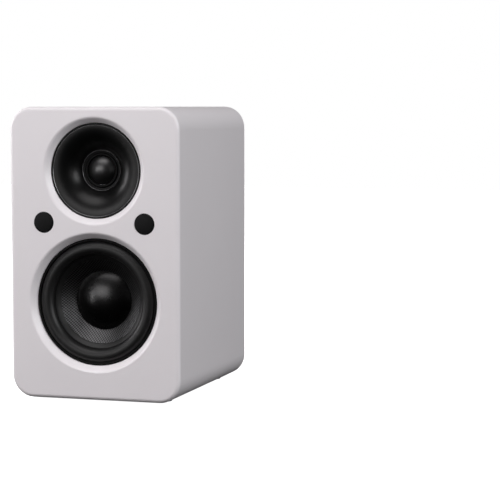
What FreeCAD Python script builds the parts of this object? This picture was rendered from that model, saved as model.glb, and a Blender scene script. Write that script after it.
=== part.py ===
import FreeCAD, Part
import math
import os
import Sketcher
from types import SimpleNamespace

# A two-way bookshelf speaker.  Front faces -Y, +X is to the right seen from the front, +Z is up.
# The origin is on the floor, in the middle of the speaker's width and depth.
# "Depth" is counted from the baffle's front face towards the back, along +Y.

SIZES = (
    ("cabinet_width", 160.0, "outside width of the box"),
    ("cabinet_depth", 190.0, "outside depth of the box"),
    ("cabinet_height", 260.0, "outside height of the box, without feet"),
    ("cabinet_corner", 20.0, "radius of the box's four long edges"),
    ("front_edge", 3.5, "rounding round the front face"),
    ("rear_edge", 1.5, "rounding round the back face"),
    ("wall", 15.0, "thickness of sides, top and bottom"),
    ("baffle", 20.0, "thickness of the front board"),
    ("rear_board", 12.0, "thickness of the back board"),
    ("rear_lip", 7.0, "wall left outside the back board"),
    ("rear_screw_inset", 7.0, "corner screw's distance from the ledge's corner"),
    ("board_gap", 0.3, "room round a board that drops into the box"),
    ("foot_height", 1.5, "thickness of a stick-on foot"),
    ("foot_radius", 9.0, "radius of a foot"),
    ("foot_inset", 26.0, "distance of a foot's middle from the box's edge"),
    ("brace_height", 151.5, "middle of the brace above the box's bottom"),
    ("brace_thickness", 9.0, "thickness of the brace"),
    ("brace_rail", 15.0, "width of the brace's rails"),
    ("brace_corner", 10.0, "corner radius of the brace's windows"),
    ("lining", 8.0, "thickness of the damping felt"),
    ("plug_across", 47.65, "distance of a grille plug from the middle"),
    ("plug_height", 157.6, "grille plug above the box's bottom"),
    ("plug_radius", 9.5, "radius of a grille plug's head"),
    ("plug_proud", 0.8, "how far a plug's head stands out"),
    ("plug_crown", 0.5, "crown of a plug's head"),
    ("plug_bevel", 1.2, "width of the bevel round a plug's head"),
    ("plug_seat", 1.2, "depth of the recess under a plug's head"),
    ("plug_stem", 5.0, "radius of a plug's stem"),
    ("plug_length", 10.0, "depth that a plug's stem reaches"),
    ("plug_magnet", 3.0, "thickness of the magnet behind a plug"),
    ("woofer_height", 87.0, "woofer axis above the box's bottom"),
    ("woofer_radius", 56.6, "outer radius of the woofer's frame"),
    ("woofer_flare", 4.8, "how much wider the flare is at the face"),
    ("woofer_sink", 6.3, "depth of the woofer's front ring"),
    ("woofer_seat", 14.0, "depth of the woofer's seat"),
    ("woofer_hole", 50.3, "radius of the hole behind the woofer's seat"),
    ("flare_edge", 2.5, "rounding where a flare meets the face"),
    ("seat_gap", 0.3, "room round a driver in its recess"),
    ("gasket", 0.8, "thickness of a driver's gasket"),
    ("trim_ring", 1.3, "thickness of the woofer's front ring"),
    ("trim_width", 2.5, "width of the woofer's front ring"),
    ("rubber", 0.7, "thickness of the woofer's surround"),
    ("frame_lip", 3.2, "width of the frame's landing for the surround"),
    ("frame_skin", 3.0, "thickness of the frame's casting"),
    ("frame_shelf", 4.5, "width of the frame's shelf under the spider"),
    ("window_width", 29.5, "width of a window in the frame"),
    ("window_start", 27.0, "radius where a window in the frame starts"),
    ("frame_taper_start", 17.0, "depth where the frame starts to taper"),
    ("spider_depth", 35.5, "depth of the spider's landing"),
    ("spider_radius", 36.0, "outer radius of the spider"),
    ("spider_skin", 0.42, "thickness of the spider's cloth"),
    ("frame_back", 41.0, "depth of the frame's back face"),
    ("frame_bore", 20.0, "radius of the hole in the frame's back"),
    ("cone_radius", 42.0, "outer radius of the cone"),
    ("cone_edge_depth", 11.7, "depth of the cone's outer edge"),
    ("cone_skin", 0.7, "thickness of the cone"),
    ("cone_steepness", 0.756, "fall of the cone for each unit inwards"),
    ("roll_fullness", 1.012, "roll radius over half of its span"),
    ("roll_landing", 4.2, "width of the surround glued on the cone"),
    ("glue_gap", 0.15, "glue line between parts that move apart"),
    ("cap_radius", 25.4, "radius of the dust cap"),
    ("cap_crown", 8.0, "height of the dust cap"),
    ("cap_skin", 0.8, "thickness of the dust cap"),
    ("coil_bore", 12.5, "inside radius of the woofer's coil former"),
    ("former_skin", 0.2, "thickness of the woofer's coil former"),
    ("coil_skin", 0.6, "thickness of the woofer's winding"),
    ("coil_length", 8.0, "length of the woofer's winding"),
    ("magnet_gap", 0.5, "room between winding and plate"),
    ("pole_gap", 0.4, "room between former and pole"),
    ("plate_radius", 34.0, "radius of the woofer's top plate"),
    ("plate_thickness", 4.0, "thickness of the woofer's top plate"),
    ("magnet_radius", 35.0, "radius of the woofer's magnet"),
    ("magnet_bore", 17.0, "bore radius of the woofer's magnet"),
    ("magnet_thickness", 12.0, "thickness of the woofer's magnet"),
    ("yoke_thickness", 4.5, "thickness of the woofer's back plate"),
    ("vent_radius", 4.0, "radius of the vent through the pole"),
    ("woofer_screw_ring", 53.6, "radius of the woofer's screw circle"),
    ("screw_radius", 1.5, "radius of a driver screw"),
    ("screw_head", 3.0, "radius of a driver screw's head"),
    ("screw_head_height", 2.0, "height of a driver screw's head"),
    ("screw_crown", 2.1, "radius of the flat on a pan head"),
    ("screw_socket", 1.05, "radius of the socket in a countersunk screw"),
    ("tweeter_height", 203.6, "tweeter axis above the box's bottom"),
    ("tweeter_radius", 42.3, "outer radius of the waveguide"),
    ("tweeter_flare", 4.3, "how much wider the flare is at the face"),
    ("tweeter_sink", 5.2, "depth of the waveguide's front edge"),
    ("tweeter_seat", 14.0, "depth of the waveguide's seat"),
    ("tweeter_hole", 37.2, "radius of the hole behind the seat"),
    ("tweeter_rim", 4.9, "width of the waveguide's rim wall"),
    ("tweeter_lip", 1.9, "width of the rounded lip round the horn"),
    ("lip_crown", 0.5, "height of the lip over the horn's mouth"),
    ("throat_radius", 17.2, "radius of the horn's throat"),
    ("throat_depth", 19.7, "depth of the horn's throat"),
    ("horn_skin", 2.6, "thickness of the horn's wall"),
    ("horn_back", 22.0, "depth of the waveguide's back"),
    ("horn_boss", 30.0, "radius of the waveguide's back boss"),
    ("horn_radius", 25.9, "radius of the horn's curve"),
    ("tweeter_bite", 4.8, "depth that a screw reaches into the waveguide"),
    ("dome_radius", 12.7, "radius of the dome"),
    ("dome_crown", 5.2, "height of the dome"),
    ("dome_skin", 0.3, "thickness of the dome"),
    ("dome_depth", 20.5, "depth of the dome's base"),
    ("ring_width", 1.3, "width of the clamp ring round the dome"),
    ("ring_height", 1.0, "height of the clamp ring"),
    ("small_gap", 0.35, "room round the tweeter's coil"),
    ("small_skin", 0.35, "thickness of the tweeter's coil"),
    ("small_plate", 3.0, "thickness of the tweeter's top plate"),
    ("small_magnet", 8.0, "thickness of the tweeter's magnet"),
    ("small_yoke", 3.5, "thickness of the tweeter's back plate"),
    ("small_plate_radius", 29.5, "radius of the tweeter's top plate"),
    ("small_step", 1.0, "how much smaller the tweeter's magnet is than its plate"),
    ("small_strip", 15.8, "width of the tweeter's tag strip"),
    ("small_tag_across", 4.4, "half of the spacing of the tweeter's tags"),
    ("small_magnet_bore", 16.0, "bore radius of the tweeter's magnet"),
    ("tweeter_screw_ring", 39.9, "radius of the tweeter's screw circle"),
    ("port_height", 200.0, "port axis above the box's bottom"),
    ("port_bore", 17.0, "inside radius of the port"),
    ("port_skin", 2.2, "thickness of the port's wall"),
    ("port_length", 105.0, "length of the port"),
    ("port_flange", 27.0, "radius of the port's flange"),
    ("port_flange_height", 3.0, "thickness of the port's flange"),
    ("port_flare", 9.0, "radius of the port's mouth"),
    ("port_spread", 7.2, "how much wider the port is at its mouth"),
    ("cup_height", 62.0, "middle of the terminal cup above the bottom"),
    ("cup_width", 86.0, "width of the cup's flange"),
    ("cup_tall", 66.0, "height of the cup's flange"),
    ("cup_corner", 6.0, "corner radius of the cup"),
    ("cup_border", 10.0, "width of the cup's flange border"),
    ("cup_skin", 2.5, "thickness of the cup"),
    ("cup_deep", 26.0, "depth of the cup's recess"),
    ("cup_gasket", 1.0, "thickness of the cup's gasket"),
    ("post_across", 9.525, "half of the spacing of the binding posts"),
    ("post_bore", 2.0, "radius of the plug socket in a post"),
    ("post_bore_deep", 16.0, "depth of the plug socket"),
    ("post_radius", 3.0, "radius of a post's stud"),
    ("post_collar", 6.0, "radius of a post's collar"),
    ("post_collar_height", 2.5, "height of a post's collar"),
    ("post_length", 17.0, "length of a stud outside the cup's floor"),
    ("washer_height", 1.0, "thickness of a post's washer"),
    ("knob_radius", 6.8, "radius of a post's knob"),
    ("knob_length", 13.0, "length of a post's knob"),
    ("knob_flute", 1.1, "radius of a flute in a knob"),
    ("slide_gap", 0.05, "room between a knob and its stud"),
    ("nut_radius", 5.2, "corner radius of a post's nut"),
    ("nut_height", 3.0, "height of a post's nut"),
    ("tag_width", 6.3, "width of a push-on tag"),
    ("tag_skin", 0.8, "thickness of a push-on tag"),
    ("tag_length", 11.0, "length of a push-on tag"),
    ("driver_tag", 3.2, "width of a tag on a driver"),
    ("strip_width", 25.2, "width of the woofer's tag strip"),
    ("pcb_width", 96.0, "width of the crossover board"),
    ("pcb_depth", 66.0, "depth of the crossover board"),
    ("pcb_skin", 1.6, "thickness of the crossover board"),
    ("pcb_start", 92.0, "depth where the crossover board starts"),
    ("standoff_height", 6.0, "height of the board's stand-offs"),
    ("standoff_radius", 3.5, "radius of the board's stand-offs"),
    ("standoff_inset", 5.0, "stand-off's middle from the board's edge"),
    ("coil_radius", 17.0, "radius of the woofer's coil"),
    ("coil_core", 8.0, "radius of the hole in the woofer's coil"),
    ("coil_height", 15.0, "height of the woofer's coil"),
    ("coil_across", 26.0, "woofer's coil from the middle"),
    ("coil_depth", 24.0, "woofer's coil from the board's front"),
    ("small_coil_radius", 11.0, "radius of the tweeter's coil"),
    ("small_coil_core", 5.0, "radius of the hole in the tweeter's coil"),
    ("small_coil_height", 10.0, "height of the tweeter's coil"),
    ("small_coil_across", 28.0, "tweeter's coil from the middle"),
    ("small_coil_depth", 18.0, "tweeter's coil from the board's front"),
    ("can_radius", 5.0, "radius of the front capacitor"),
    ("can_length", 26.0, "length of the two slim capacitors"),
    ("can_across", 8.0, "front capacitor from the middle"),
    ("can_depth", 6.0, "front capacitor from the board's front"),
    ("side_can_radius", 5.5, "radius of the side capacitor"),
    ("side_can_across", 18.0, "side capacitor from the middle"),
    ("side_can_depth", 34.0, "side capacitor from the board's front"),
    ("big_can_radius", 6.5, "radius of the big capacitor"),
    ("big_can_length", 28.0, "length of the big capacitor"),
    ("big_can_across", 2.0, "big capacitor from the middle"),
    ("big_can_depth", 36.0, "big capacitor from the board's front"),
    ("resistor_width", 9.0, "width of the resistor"),
    ("resistor_length", 24.0, "length of the resistor"),
    ("resistor_height", 8.0, "height of the resistor"),
    ("resistor_across", 34.0, "resistor from the middle"),
    ("resistor_depth", 34.0, "resistor from the board's front"),
    ("wire_radius", 0.9, "radius of an insulated wire"),
    ("lead_radius", 0.5, "radius of a braided lead"),
)

SIDES = (-1, 1)
FRAME_WINDOWS = 6
WOOFER_SCREWS = 6
TWEETER_SCREWS = 4
KNOB_FLUTES = 12
SPIDER_WAVES = 5


class Size:
    """A length held twice: as a number, and as the sheet expression that it comes from."""

    def __init__(self, value, text):
        self.value = value
        self.text = text

    def __add__(self, other):
        other = as_size(other)
        return Size(self.value + other.value, f"({self.text} + {other.text})")

    def __sub__(self, other):
        other = as_size(other)
        return Size(self.value - other.value, f"({self.text} - {other.text})")

    def __rsub__(self, other):
        return as_size(other) - self

    def __mul__(self, other):
        other = as_size(other)
        return Size(self.value * other.value, f"({self.text} * {other.text})")

    def __truediv__(self, other):
        other = as_size(other)
        return Size(self.value / other.value, f"({self.text} / {other.text})")

    def __neg__(self):
        return Size(-self.value, f"(0 - {self.text})")

    __radd__ = __add__
    __rmul__ = __mul__


def as_size(number):
    """Let a plain number stand beside sheet sizes."""
    if isinstance(number, Size):
        return number
    return Size(float(number), f"({float(number):.6f})")


def diagonal(across, along):
    """Length of the straight line that spans both lengths."""
    value = math.hypot(across.value, along.value)
    return Size(value, f"sqrt({across.text}^2 + {along.text}^2)")


def crown_radius(half_width, crown):
    """Radius of the sphere of which a cap of this half width and height is cut."""
    return (half_width * half_width + crown * crown) / (crown * 2)


def make_sheet():
    """Fill the spreadsheet and give its cells back as sizes."""
    sheet = doc.addObject("Spreadsheet::Sheet", "sizes")
    cells = {}
    for row, (alias, millimetres, meaning) in enumerate(SIZES, start=1):
        sheet.set(f"A{row}", meaning)
        sheet.set(f"B{row}", str(millimetres))
        sheet.setAlias(f"B{row}", alias)
        cells[alias] = Size(millimetres, f"sizes.{alias}")
    doc.recompute()
    return SimpleNamespace(**cells)


def bind(obj, prop, size):
    obj.setExpression(prop, as_size(size).text)


def put(obj, across=0, depth=0, height=0):
    """Place an object from the middle, the baffle's face and the box's bottom."""
    bind(obj, "Placement.Base.x", across)
    bind(obj, "Placement.Base.y", front_face + depth)
    bind(obj, "Placement.Base.z", box_bottom + height)


def keep(obj, label):
    """List an object as one of the speaker's pieces."""
    obj.Label = label
    pieces.append(obj)
    return obj


# ---------------------------------------------------------------- sketches and features


def new_body(name, across=0, depth=0, height=0):
    body = doc.addObject("PartDesign::Body", name)
    put(body, across, depth, height)
    return body


def new_sketch(body, plane, across=0, depth=0, height=0):
    """A sketch on one of the body's own planes, moved to the given place in the body."""
    sketch = body.newObject("Sketcher::SketchObject", body.Name + "_sketch")
    support = [item for item in body.Origin.OriginFeatures if item.Role == plane][0]
    sketch.AttachmentSupport = (support, [""])
    sketch.MapMode = "FlatFace"
    offsets = (across, depth, height)
    if plane == "XZ_Plane":
        offsets = (across, height, -as_size(depth))
    for axis, offset in zip("xyz", offsets):
        bind(sketch, f"AttachmentOffset.Base.{axis}", offset)
    return sketch


def arc_between(start, end, radius, bulge):
    """Arc from start to end; bulge is 1 to the left of the way there, -1 to the right."""
    chord = end - start
    half = chord.Length / 2
    left = FreeCAD.Vector(-chord.y, chord.x, 0).normalize()
    rise = math.sqrt(max(radius * radius - half * half, 0.0))
    centre = (start + end) / 2 - left * (rise * bulge)
    first, last = (end, start) if bulge > 0 else (start, end)
    angles = [math.atan2(point.y - centre.y, point.x - centre.x) for point in (first, last)]
    circle = Part.Circle(centre, FreeCAD.Vector(0, 0, 1), radius)
    return Part.ArcOfCircle(circle, angles[0], angles[1])


def fix_corner(sketch, geometry, end, across, along):
    """Tie one end of a line or arc to its two sheet sizes."""
    if across.value == 0:
        sketch.addConstraint(Sketcher.Constraint("PointOnObject", geometry, end, -2))
    else:
        rule = Sketcher.Constraint("DistanceX", -1, 1, geometry, end, across.value)
        bind(sketch, f"Constraints[{sketch.addConstraint(rule)}]", across)
    if along.value == 0:
        sketch.addConstraint(Sketcher.Constraint("PointOnObject", geometry, end, -1))
    else:
        rule = Sketcher.Constraint("DistanceY", -1, 1, geometry, end, along.value)
        bind(sketch, f"Constraints[{sketch.addConstraint(rule)}]", along)


def draw_outline(sketch, corners):
    """Closed outline.  A corner is (across, along), or (across, along, radius, bulge) where an
    arc runs up to it from the corner before."""
    corners = [tuple(as_size(item) for item in corner[:3]) + corner[3:] for corner in corners]
    points = [FreeCAD.Vector(corner[0].value, corner[1].value, 0) for corner in corners]
    joints = []
    for index, corner in enumerate(corners):
        start = points[index - 1]
        end = points[index]
        if len(corner) == 2:
            geometry = sketch.addGeometry(Part.LineSegment(start, end), False)
            joints.append((geometry, 1, 2))
            continue
        arc = arc_between(start, end, corner[2].value, corner[3])
        geometry = sketch.addGeometry(arc, False)
        joints.append((geometry, 2, 1) if corner[3] > 0 else (geometry, 1, 2))
    for index, corner in enumerate(corners):
        geometry, _, end = joints[index]
        following, begin, _ = joints[(index + 1) % len(joints)]
        rule = Sketcher.Constraint("Coincident", geometry, end, following, begin)
        sketch.addConstraint(rule)
        fix_corner(sketch, geometry, end, corner[0], corner[1])
        if len(corner) > 2:
            rule = Sketcher.Constraint("Radius", geometry, corner[2].value)
            bind(sketch, f"Constraints[{sketch.addConstraint(rule)}]", corner[2])
    return sketch


def rounded_corners(width, height, radius):
    """Corners of a rectangle with round corners, about the sketch's own origin."""
    x_out = as_size(width) / 2
    z_out = as_size(height) / 2
    x_in = x_out - radius
    z_in = z_out - radius
    return [
        (x_in, -z_out),
        (x_out, -z_in, radius, -1),
        (x_out, z_in),
        (x_in, z_out, radius, -1),
        (-x_in, z_out),
        (-x_out, z_in, radius, -1),
        (-x_out, -z_in),
        (-x_in, -z_out, radius, -1),
    ]


def turn(body, corners, across=0, height=0):
    """Revolve (radius, depth) corners round an axis that runs front to back."""
    sketch = draw_outline(new_sketch(body, "XY_Plane", across, 0, height), corners)
    feature = body.newObject("PartDesign::Revolution", body.Name + "_turned")
    feature.Profile = sketch
    feature.ReferenceAxis = (sketch, ["V_Axis"])
    feature.Angle = 360
    doc.recompute()
    return feature


def bore(body, corners, across=0, height=0):
    """Cut (radius, depth) corners out of a body, round an axis that runs front to back."""
    before = body.Shape.Volume
    sketch = draw_outline(new_sketch(body, "XY_Plane", across, 0, height), corners)
    feature = body.newObject("PartDesign::Groove", body.Name + "_bore")
    feature.Profile = sketch
    feature.ReferenceAxis = (sketch, ["V_Axis"])
    feature.Angle = 360
    doc.recompute()
    check_cut(body, before)
    return feature


def straight_bore(body, radius, start, end, across=0, height=0):
    corners = [(0, start), (radius, start), (radius, end), (0, end)]
    return bore(body, corners, across, height)


def pad(body, corners, start, length, across=0, height=0):
    """Push an upright outline back from depth start, by length."""
    sketch = draw_outline(new_sketch(body, "XZ_Plane", across, start, height), corners)
    feature = body.newObject("PartDesign::Pad", body.Name + "_pad")
    feature.Profile = sketch
    feature.Reversed = True
    bind(feature, "Length", length)
    doc.recompute()
    return feature


def pocket(body, corners, start, length, across=0, height=0):
    """Cut an upright outline out of a body from depth start, by length."""
    before = body.Shape.Volume
    sketch = draw_outline(new_sketch(body, "XZ_Plane", across, start, height), corners)
    feature = body.newObject("PartDesign::Pocket", body.Name + "_pocket")
    feature.Profile = sketch
    bind(feature, "Length", length)
    doc.recompute()
    check_cut(body, before)
    return feature


def check_cut(body, before):
    if not body.Shape.Volume < before:
        raise RuntimeError(f"a cut in {body.Name} takes nothing away")


def edges_at_depth(shape, depth):
    """Names of the edges that lie wholly at one depth of a body that starts at the face."""
    names = []
    for number, edge in enumerate(shape.Edges, start=1):
        box = edge.BoundBox
        if abs(box.YMin - depth) < 0.001 and abs(box.YMax - depth) < 0.001:
            names.append(f"Edge{number}")
    return names


def round_edges(body, names, radius):
    base = body.Tip
    feature = body.newObject("PartDesign::Fillet", body.Name + "_rounding")
    feature.Base = (base, names)
    bind(feature, "Radius", radius)
    doc.recompute()
    return feature


def turned_piece(name, corners, across=0, height=0):
    body = new_body(name, across, 0, height)
    turn(body, corners)
    return keep(body, name)


def ring_piece(name, inner, outer, start, end, across=0, height=0):
    corners = [(inner, start), (outer, start), (outer, end), (inner, end)]
    return turned_piece(name, corners, across, height)


# ---------------------------------------------------------------- plain solids and groups


def cylinder(name, radius, length, across, depth, height, upright=False):
    """A round bar that runs back from its place, or up from it if upright."""
    solid = doc.addObject("Part::Cylinder", name)
    bind(solid, "Radius", radius)
    bind(solid, "Height", length)
    if not upright:
        solid.Placement.Rotation = FreeCAD.Rotation(FreeCAD.Vector(1, 0, 0), -90)
    put(solid, across, depth, height)
    return solid


def box(name, width, length, tall, across, depth, height):
    """A block centred across, that starts at the given depth and height."""
    solid = doc.addObject("Part::Box", name)
    bind(solid, "Length", width)
    bind(solid, "Width", length)
    bind(solid, "Height", tall)
    put(solid, as_size(across) - as_size(width) / 2, depth, height)
    return solid


def join(name, members):
    whole = doc.addObject("Part::MultiFuse", name)
    whole.Shapes = members
    return whole


def cut(name, base, tool):
    rest = doc.addObject("Part::Cut", name)
    rest.Base = base
    rest.Tool = tool
    doc.recompute()
    if not rest.Shape.Volume < base.Shape.Volume:
        raise RuntimeError(f"the cut of {name} takes nothing away")
    return rest


def group(name, members):
    """Pieces that stay separate solids under one name."""
    whole = doc.addObject("Part::Compound", name + "_group")
    whole.Links = members
    return keep(whole, name)


def ring_places(count, radius, first_angle):
    """Places round a circle, as (across, up) sizes."""
    for index in range(count):
        angle = math.radians(first_angle + 360.0 * index / count)
        yield radius * math.cos(angle), radius * math.sin(angle)


# ---------------------------------------------------------------- the box


def cabinet_shell():
    """Sides, top and bottom: one rounded sleeve with a ledge for the back board."""
    body = new_body("cabinet_shell", 0, 0, sizes.cabinet_height / 2)
    length = sizes.cabinet_depth - sizes.baffle
    outside = rounded_corners(sizes.cabinet_width, sizes.cabinet_height, sizes.cabinet_corner)
    pad(body, outside, sizes.baffle, length)
    names = edges_at_depth(body.Shape, front_face.value + sizes.cabinet_depth.value)
    round_edges(body, names, sizes.rear_edge)
    inner_corner = sizes.cabinet_corner - sizes.wall
    inside = rounded_corners(inner_width, inner_height, inner_corner)
    pocket(body, inside, sizes.baffle, length)
    ledge = rounded_corners(
        sizes.cabinet_width - sizes.rear_lip * 2,
        sizes.cabinet_height - sizes.rear_lip * 2,
        sizes.cabinet_corner - sizes.rear_lip,
    )
    pocket(body, ledge, sizes.cabinet_depth - sizes.rear_board, sizes.rear_board)
    for across, up in rear_screw_places():
        start = sizes.cabinet_depth - sizes.rear_board
        straight_bore(body, sizes.screw_radius, start - screw_bite, start, across, up)
    for across, depth in standoff_places():
        floor_hole(body, across, depth)
    return keep(body, "cabinet_shell")


def floor_hole(body, across, depth):
    """Blind screw hole in the floor of the box, for a stand-off's screw."""
    before = body.Shape.Volume
    sketch = new_sketch(body, "XY_Plane", across, depth, sizes.wall - sizes.cabinet_height / 2)
    circle = Part.Circle(FreeCAD.Vector(0, 0, 0), FreeCAD.Vector(0, 0, 1), sizes.screw_radius.value)
    sketch.addGeometry(circle, False)
    sketch.addConstraint(Sketcher.Constraint("Coincident", 0, 3, -1, 1))
    rule = Sketcher.Constraint("Radius", 0, sizes.screw_radius.value)
    bind(sketch, f"Constraints[{sketch.addConstraint(rule)}]", sizes.screw_radius)
    feature = body.newObject("PartDesign::Pocket", "floor_hole")
    feature.Profile = sketch
    bind(feature, "Length", board_screw_bite)
    doc.recompute()
    check_cut(body, before)


def front_baffle():
    """Front board with both flares, both seats, the driver holes and the plug holes."""
    body = new_body("front_baffle", 0, 0, sizes.cabinet_height / 2)
    outside = rounded_corners(sizes.cabinet_width, sizes.cabinet_height, sizes.cabinet_corner)
    pad(body, outside, 0, sizes.baffle)
    round_edges(body, edges_at_depth(body.Shape, front_face.value), sizes.front_edge)
    seats = (
        (sizes.woofer_height, sizes.woofer_radius, sizes.woofer_flare, sizes.woofer_sink,
         sizes.woofer_seat, sizes.woofer_hole, sizes.woofer_screw_ring, WOOFER_SCREWS),
        (sizes.tweeter_height, sizes.tweeter_radius, sizes.tweeter_flare, sizes.tweeter_sink,
         sizes.tweeter_seat, sizes.tweeter_hole, sizes.tweeter_screw_ring, TWEETER_SCREWS),
    )
    for up, radius, flare, sink, seat, hole, ring, screws in seats:
        recess = radius + sizes.seat_gap
        corners = [
            (0, 0),
            (recess + flare, 0),
            (recess, sink),
            (recess, seat),
            (hole, seat),
            (hole, sizes.baffle),
            (0, sizes.baffle),
        ]
        bore(body, corners, 0, up - sizes.cabinet_height / 2)
        for across, rise in ring_places(screws, ring, 90.0 / screws * 2):
            height = up - sizes.cabinet_height / 2 + rise
            straight_bore(body, sizes.screw_radius, seat, sizes.baffle, across, height)
    for side in SIDES:
        height = sizes.plug_height - sizes.cabinet_height / 2
        corners = [
            (0, 0),
            (sizes.plug_radius, 0),
            (sizes.plug_radius, sizes.plug_seat),
            (sizes.plug_stem, sizes.plug_seat),
            (sizes.plug_stem, sizes.plug_length + sizes.plug_magnet),
            (0, sizes.plug_length + sizes.plug_magnet),
        ]
        bore(body, corners, sizes.plug_across * side, height)
    flare_radii = [radius.value + sizes.seat_gap.value + flare.value
                   for _, radius, flare, *_ in seats]
    names = []
    for number, edge in enumerate(body.Shape.Edges, start=1):
        round_edge = edge.Curve.TypeId == "Part::GeomCircle"
        if round_edge and any(abs(edge.Curve.Radius - value) < 0.001 for value in flare_radii):
            names.append(f"Edge{number}")
    round_edges(body, names, sizes.flare_edge)
    return keep(body, "front_baffle")


def rear_screw_places():
    """Screws through the back board into the ledge, as (across, up) from its middle."""
    across = inner_width / 2 + (sizes.wall - sizes.rear_lip) / 2
    up = inner_height / 2 + (sizes.wall - sizes.rear_lip) / 2
    for side in SIDES:
        for rise in SIDES:
            yield (across - sizes.rear_screw_inset) * side, up * rise
        yield across * side, as_size(0)


def rear_panel():
    """Back board that drops into the sleeve, with holes for the port and the cup."""
    body = new_body("rear_panel", 0, 0, sizes.cabinet_height / 2)
    start = sizes.cabinet_depth - sizes.rear_board
    outside = rounded_corners(
        sizes.cabinet_width - (sizes.rear_lip + sizes.board_gap) * 2,
        sizes.cabinet_height - (sizes.rear_lip + sizes.board_gap) * 2,
        sizes.cabinet_corner - sizes.rear_lip - sizes.board_gap,
    )
    pad(body, outside, start, sizes.rear_board)
    port_up = sizes.port_height - sizes.cabinet_height / 2
    port_out = sizes.port_bore + sizes.port_skin
    lip_depth = sizes.cabinet_depth - sizes.port_flange_height
    corners = [
        (0, start),
        (port_out, start),
        (port_out, lip_depth),
        (sizes.port_flange + sizes.board_gap, lip_depth),
        (sizes.port_flange + sizes.board_gap, sizes.cabinet_depth),
        (0, sizes.cabinet_depth),
    ]
    bore(body, corners, 0, port_up)
    cup_up = sizes.cup_height - sizes.cabinet_height / 2
    hole = rounded_corners(
        cup_inner_width + (sizes.cup_skin + sizes.board_gap) * 2,
        cup_inner_tall + (sizes.cup_skin + sizes.board_gap) * 2,
        sizes.cup_corner,
    )
    pocket(body, hole, start, sizes.rear_board, 0, cup_up)
    rebate_depth = sizes.cup_skin + sizes.cup_gasket
    rebate = rounded_corners(
        sizes.cup_width + sizes.board_gap * 2,
        sizes.cup_tall + sizes.board_gap * 2,
        sizes.cup_corner + sizes.board_gap,
    )
    pocket(body, rebate, sizes.cabinet_depth - rebate_depth, rebate_depth, 0, cup_up)
    for across, up in rear_screw_places():
        screw_recess(body, across, up, start)
    for across, up in cup_screw_places():
        end = sizes.cabinet_depth - rebate_depth
        straight_bore(body, sizes.screw_radius, end - cup_screw_bite, end, across, cup_up + up)
    return keep(body, "rear_panel")


def screw_recess(body, across, up, start):
    """Clearance for one countersunk screw whose head is flush with the back face."""
    corners = [
        (0, start),
        (sizes.screw_radius, start),
        (sizes.screw_radius, sizes.cabinet_depth - sizes.screw_head_height),
        (sizes.screw_head, sizes.cabinet_depth),
        (0, sizes.cabinet_depth),
    ]
    bore(body, corners, across, up)


def countersunk_screw(name, face, bite, across, height):
    """Screw driven forwards from a flush countersunk head at depth face."""
    slot = sizes.screw_head_height / 2
    corners = [
        (0, face - slot),
        (sizes.screw_socket, face - slot),
        (sizes.screw_socket, face),
        (sizes.screw_head, face),
        (sizes.screw_radius, face - sizes.screw_head_height),
        (sizes.screw_radius, face - bite),
        (0, face - bite),
    ]
    body = new_body(name, across, 0, height)
    turn(body, corners)
    return body


def rear_panel_screws():
    """Wood screws that hold the back board on its ledge."""
    screws = []
    for across, up in rear_screw_places():
        height = up + sizes.cabinet_height / 2
        bite = sizes.rear_board + screw_bite
        screws.append(countersunk_screw("rear_screw", sizes.cabinet_depth, bite, across, height))
    return group("rear_panel_screws", screws)


def window_brace():
    """Shelf with two windows, glued between the drivers from side to side."""
    depth = sizes.cabinet_depth - sizes.baffle - sizes.rear_board
    bottom = sizes.brace_height - sizes.brace_thickness / 2
    plate = box("brace_plate", inner_width, depth, sizes.brace_thickness, 0, sizes.baffle, bottom)
    window_wide = inner_width - sizes.brace_rail * 2
    window_deep = (depth - sizes.brace_rail * 3) / 2
    windows = []
    for index in range(2):
        start = sizes.baffle + sizes.brace_rail + (window_deep + sizes.brace_rail) * index
        body = doc.addObject("PartDesign::Body", "brace_window")
        put(body, 0, start + window_deep / 2, bottom)
        corners = rounded_corners(window_wide, window_deep, sizes.brace_corner)
        sketch = draw_outline(new_sketch(body, "XY_Plane"), corners)
        feature = body.newObject("PartDesign::Pad", "brace_window_pad")
        feature.Profile = sketch
        bind(feature, "Length", sizes.brace_thickness)
        doc.recompute()
        windows.append(body)
    return keep(cut("window_brace", plate, join("brace_windows", windows)), "window_brace")


def lining_pieces():
    """Damping felt on both side walls below the brace and under the top."""
    margin = sizes.lining
    start = sizes.baffle + sizes.wall
    depth = sizes.cabinet_depth - sizes.rear_board - sizes.wall - start
    tall = sizes.brace_height - sizes.brace_thickness / 2 - margin - sizes.wall - margin
    for side, name in zip(SIDES, ("lining_left", "lining_right")):
        across = (inner_width / 2 - sizes.lining / 2) * side
        pad_box = box(name, sizes.lining, depth, tall, across, start, sizes.wall + margin)
        keep(pad_box, name)
    height = sizes.cabinet_height - sizes.wall - sizes.lining
    width = inner_width - margin * 4
    keep(box("lining_top", width, depth, sizes.lining, 0, start, height), "lining_top")


def rubber_feet():
    """Four stick-on feet."""
    feet = []
    for side in SIDES:
        across = (sizes.cabinet_width / 2 - sizes.foot_inset) * side
        for depth in (sizes.foot_inset, sizes.cabinet_depth - sizes.foot_inset):
            feet.append(cylinder("foot", sizes.foot_radius, sizes.foot_height,
                                 across, depth, -sizes.foot_height, upright=True))
    return group("rubber_feet", feet)


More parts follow.
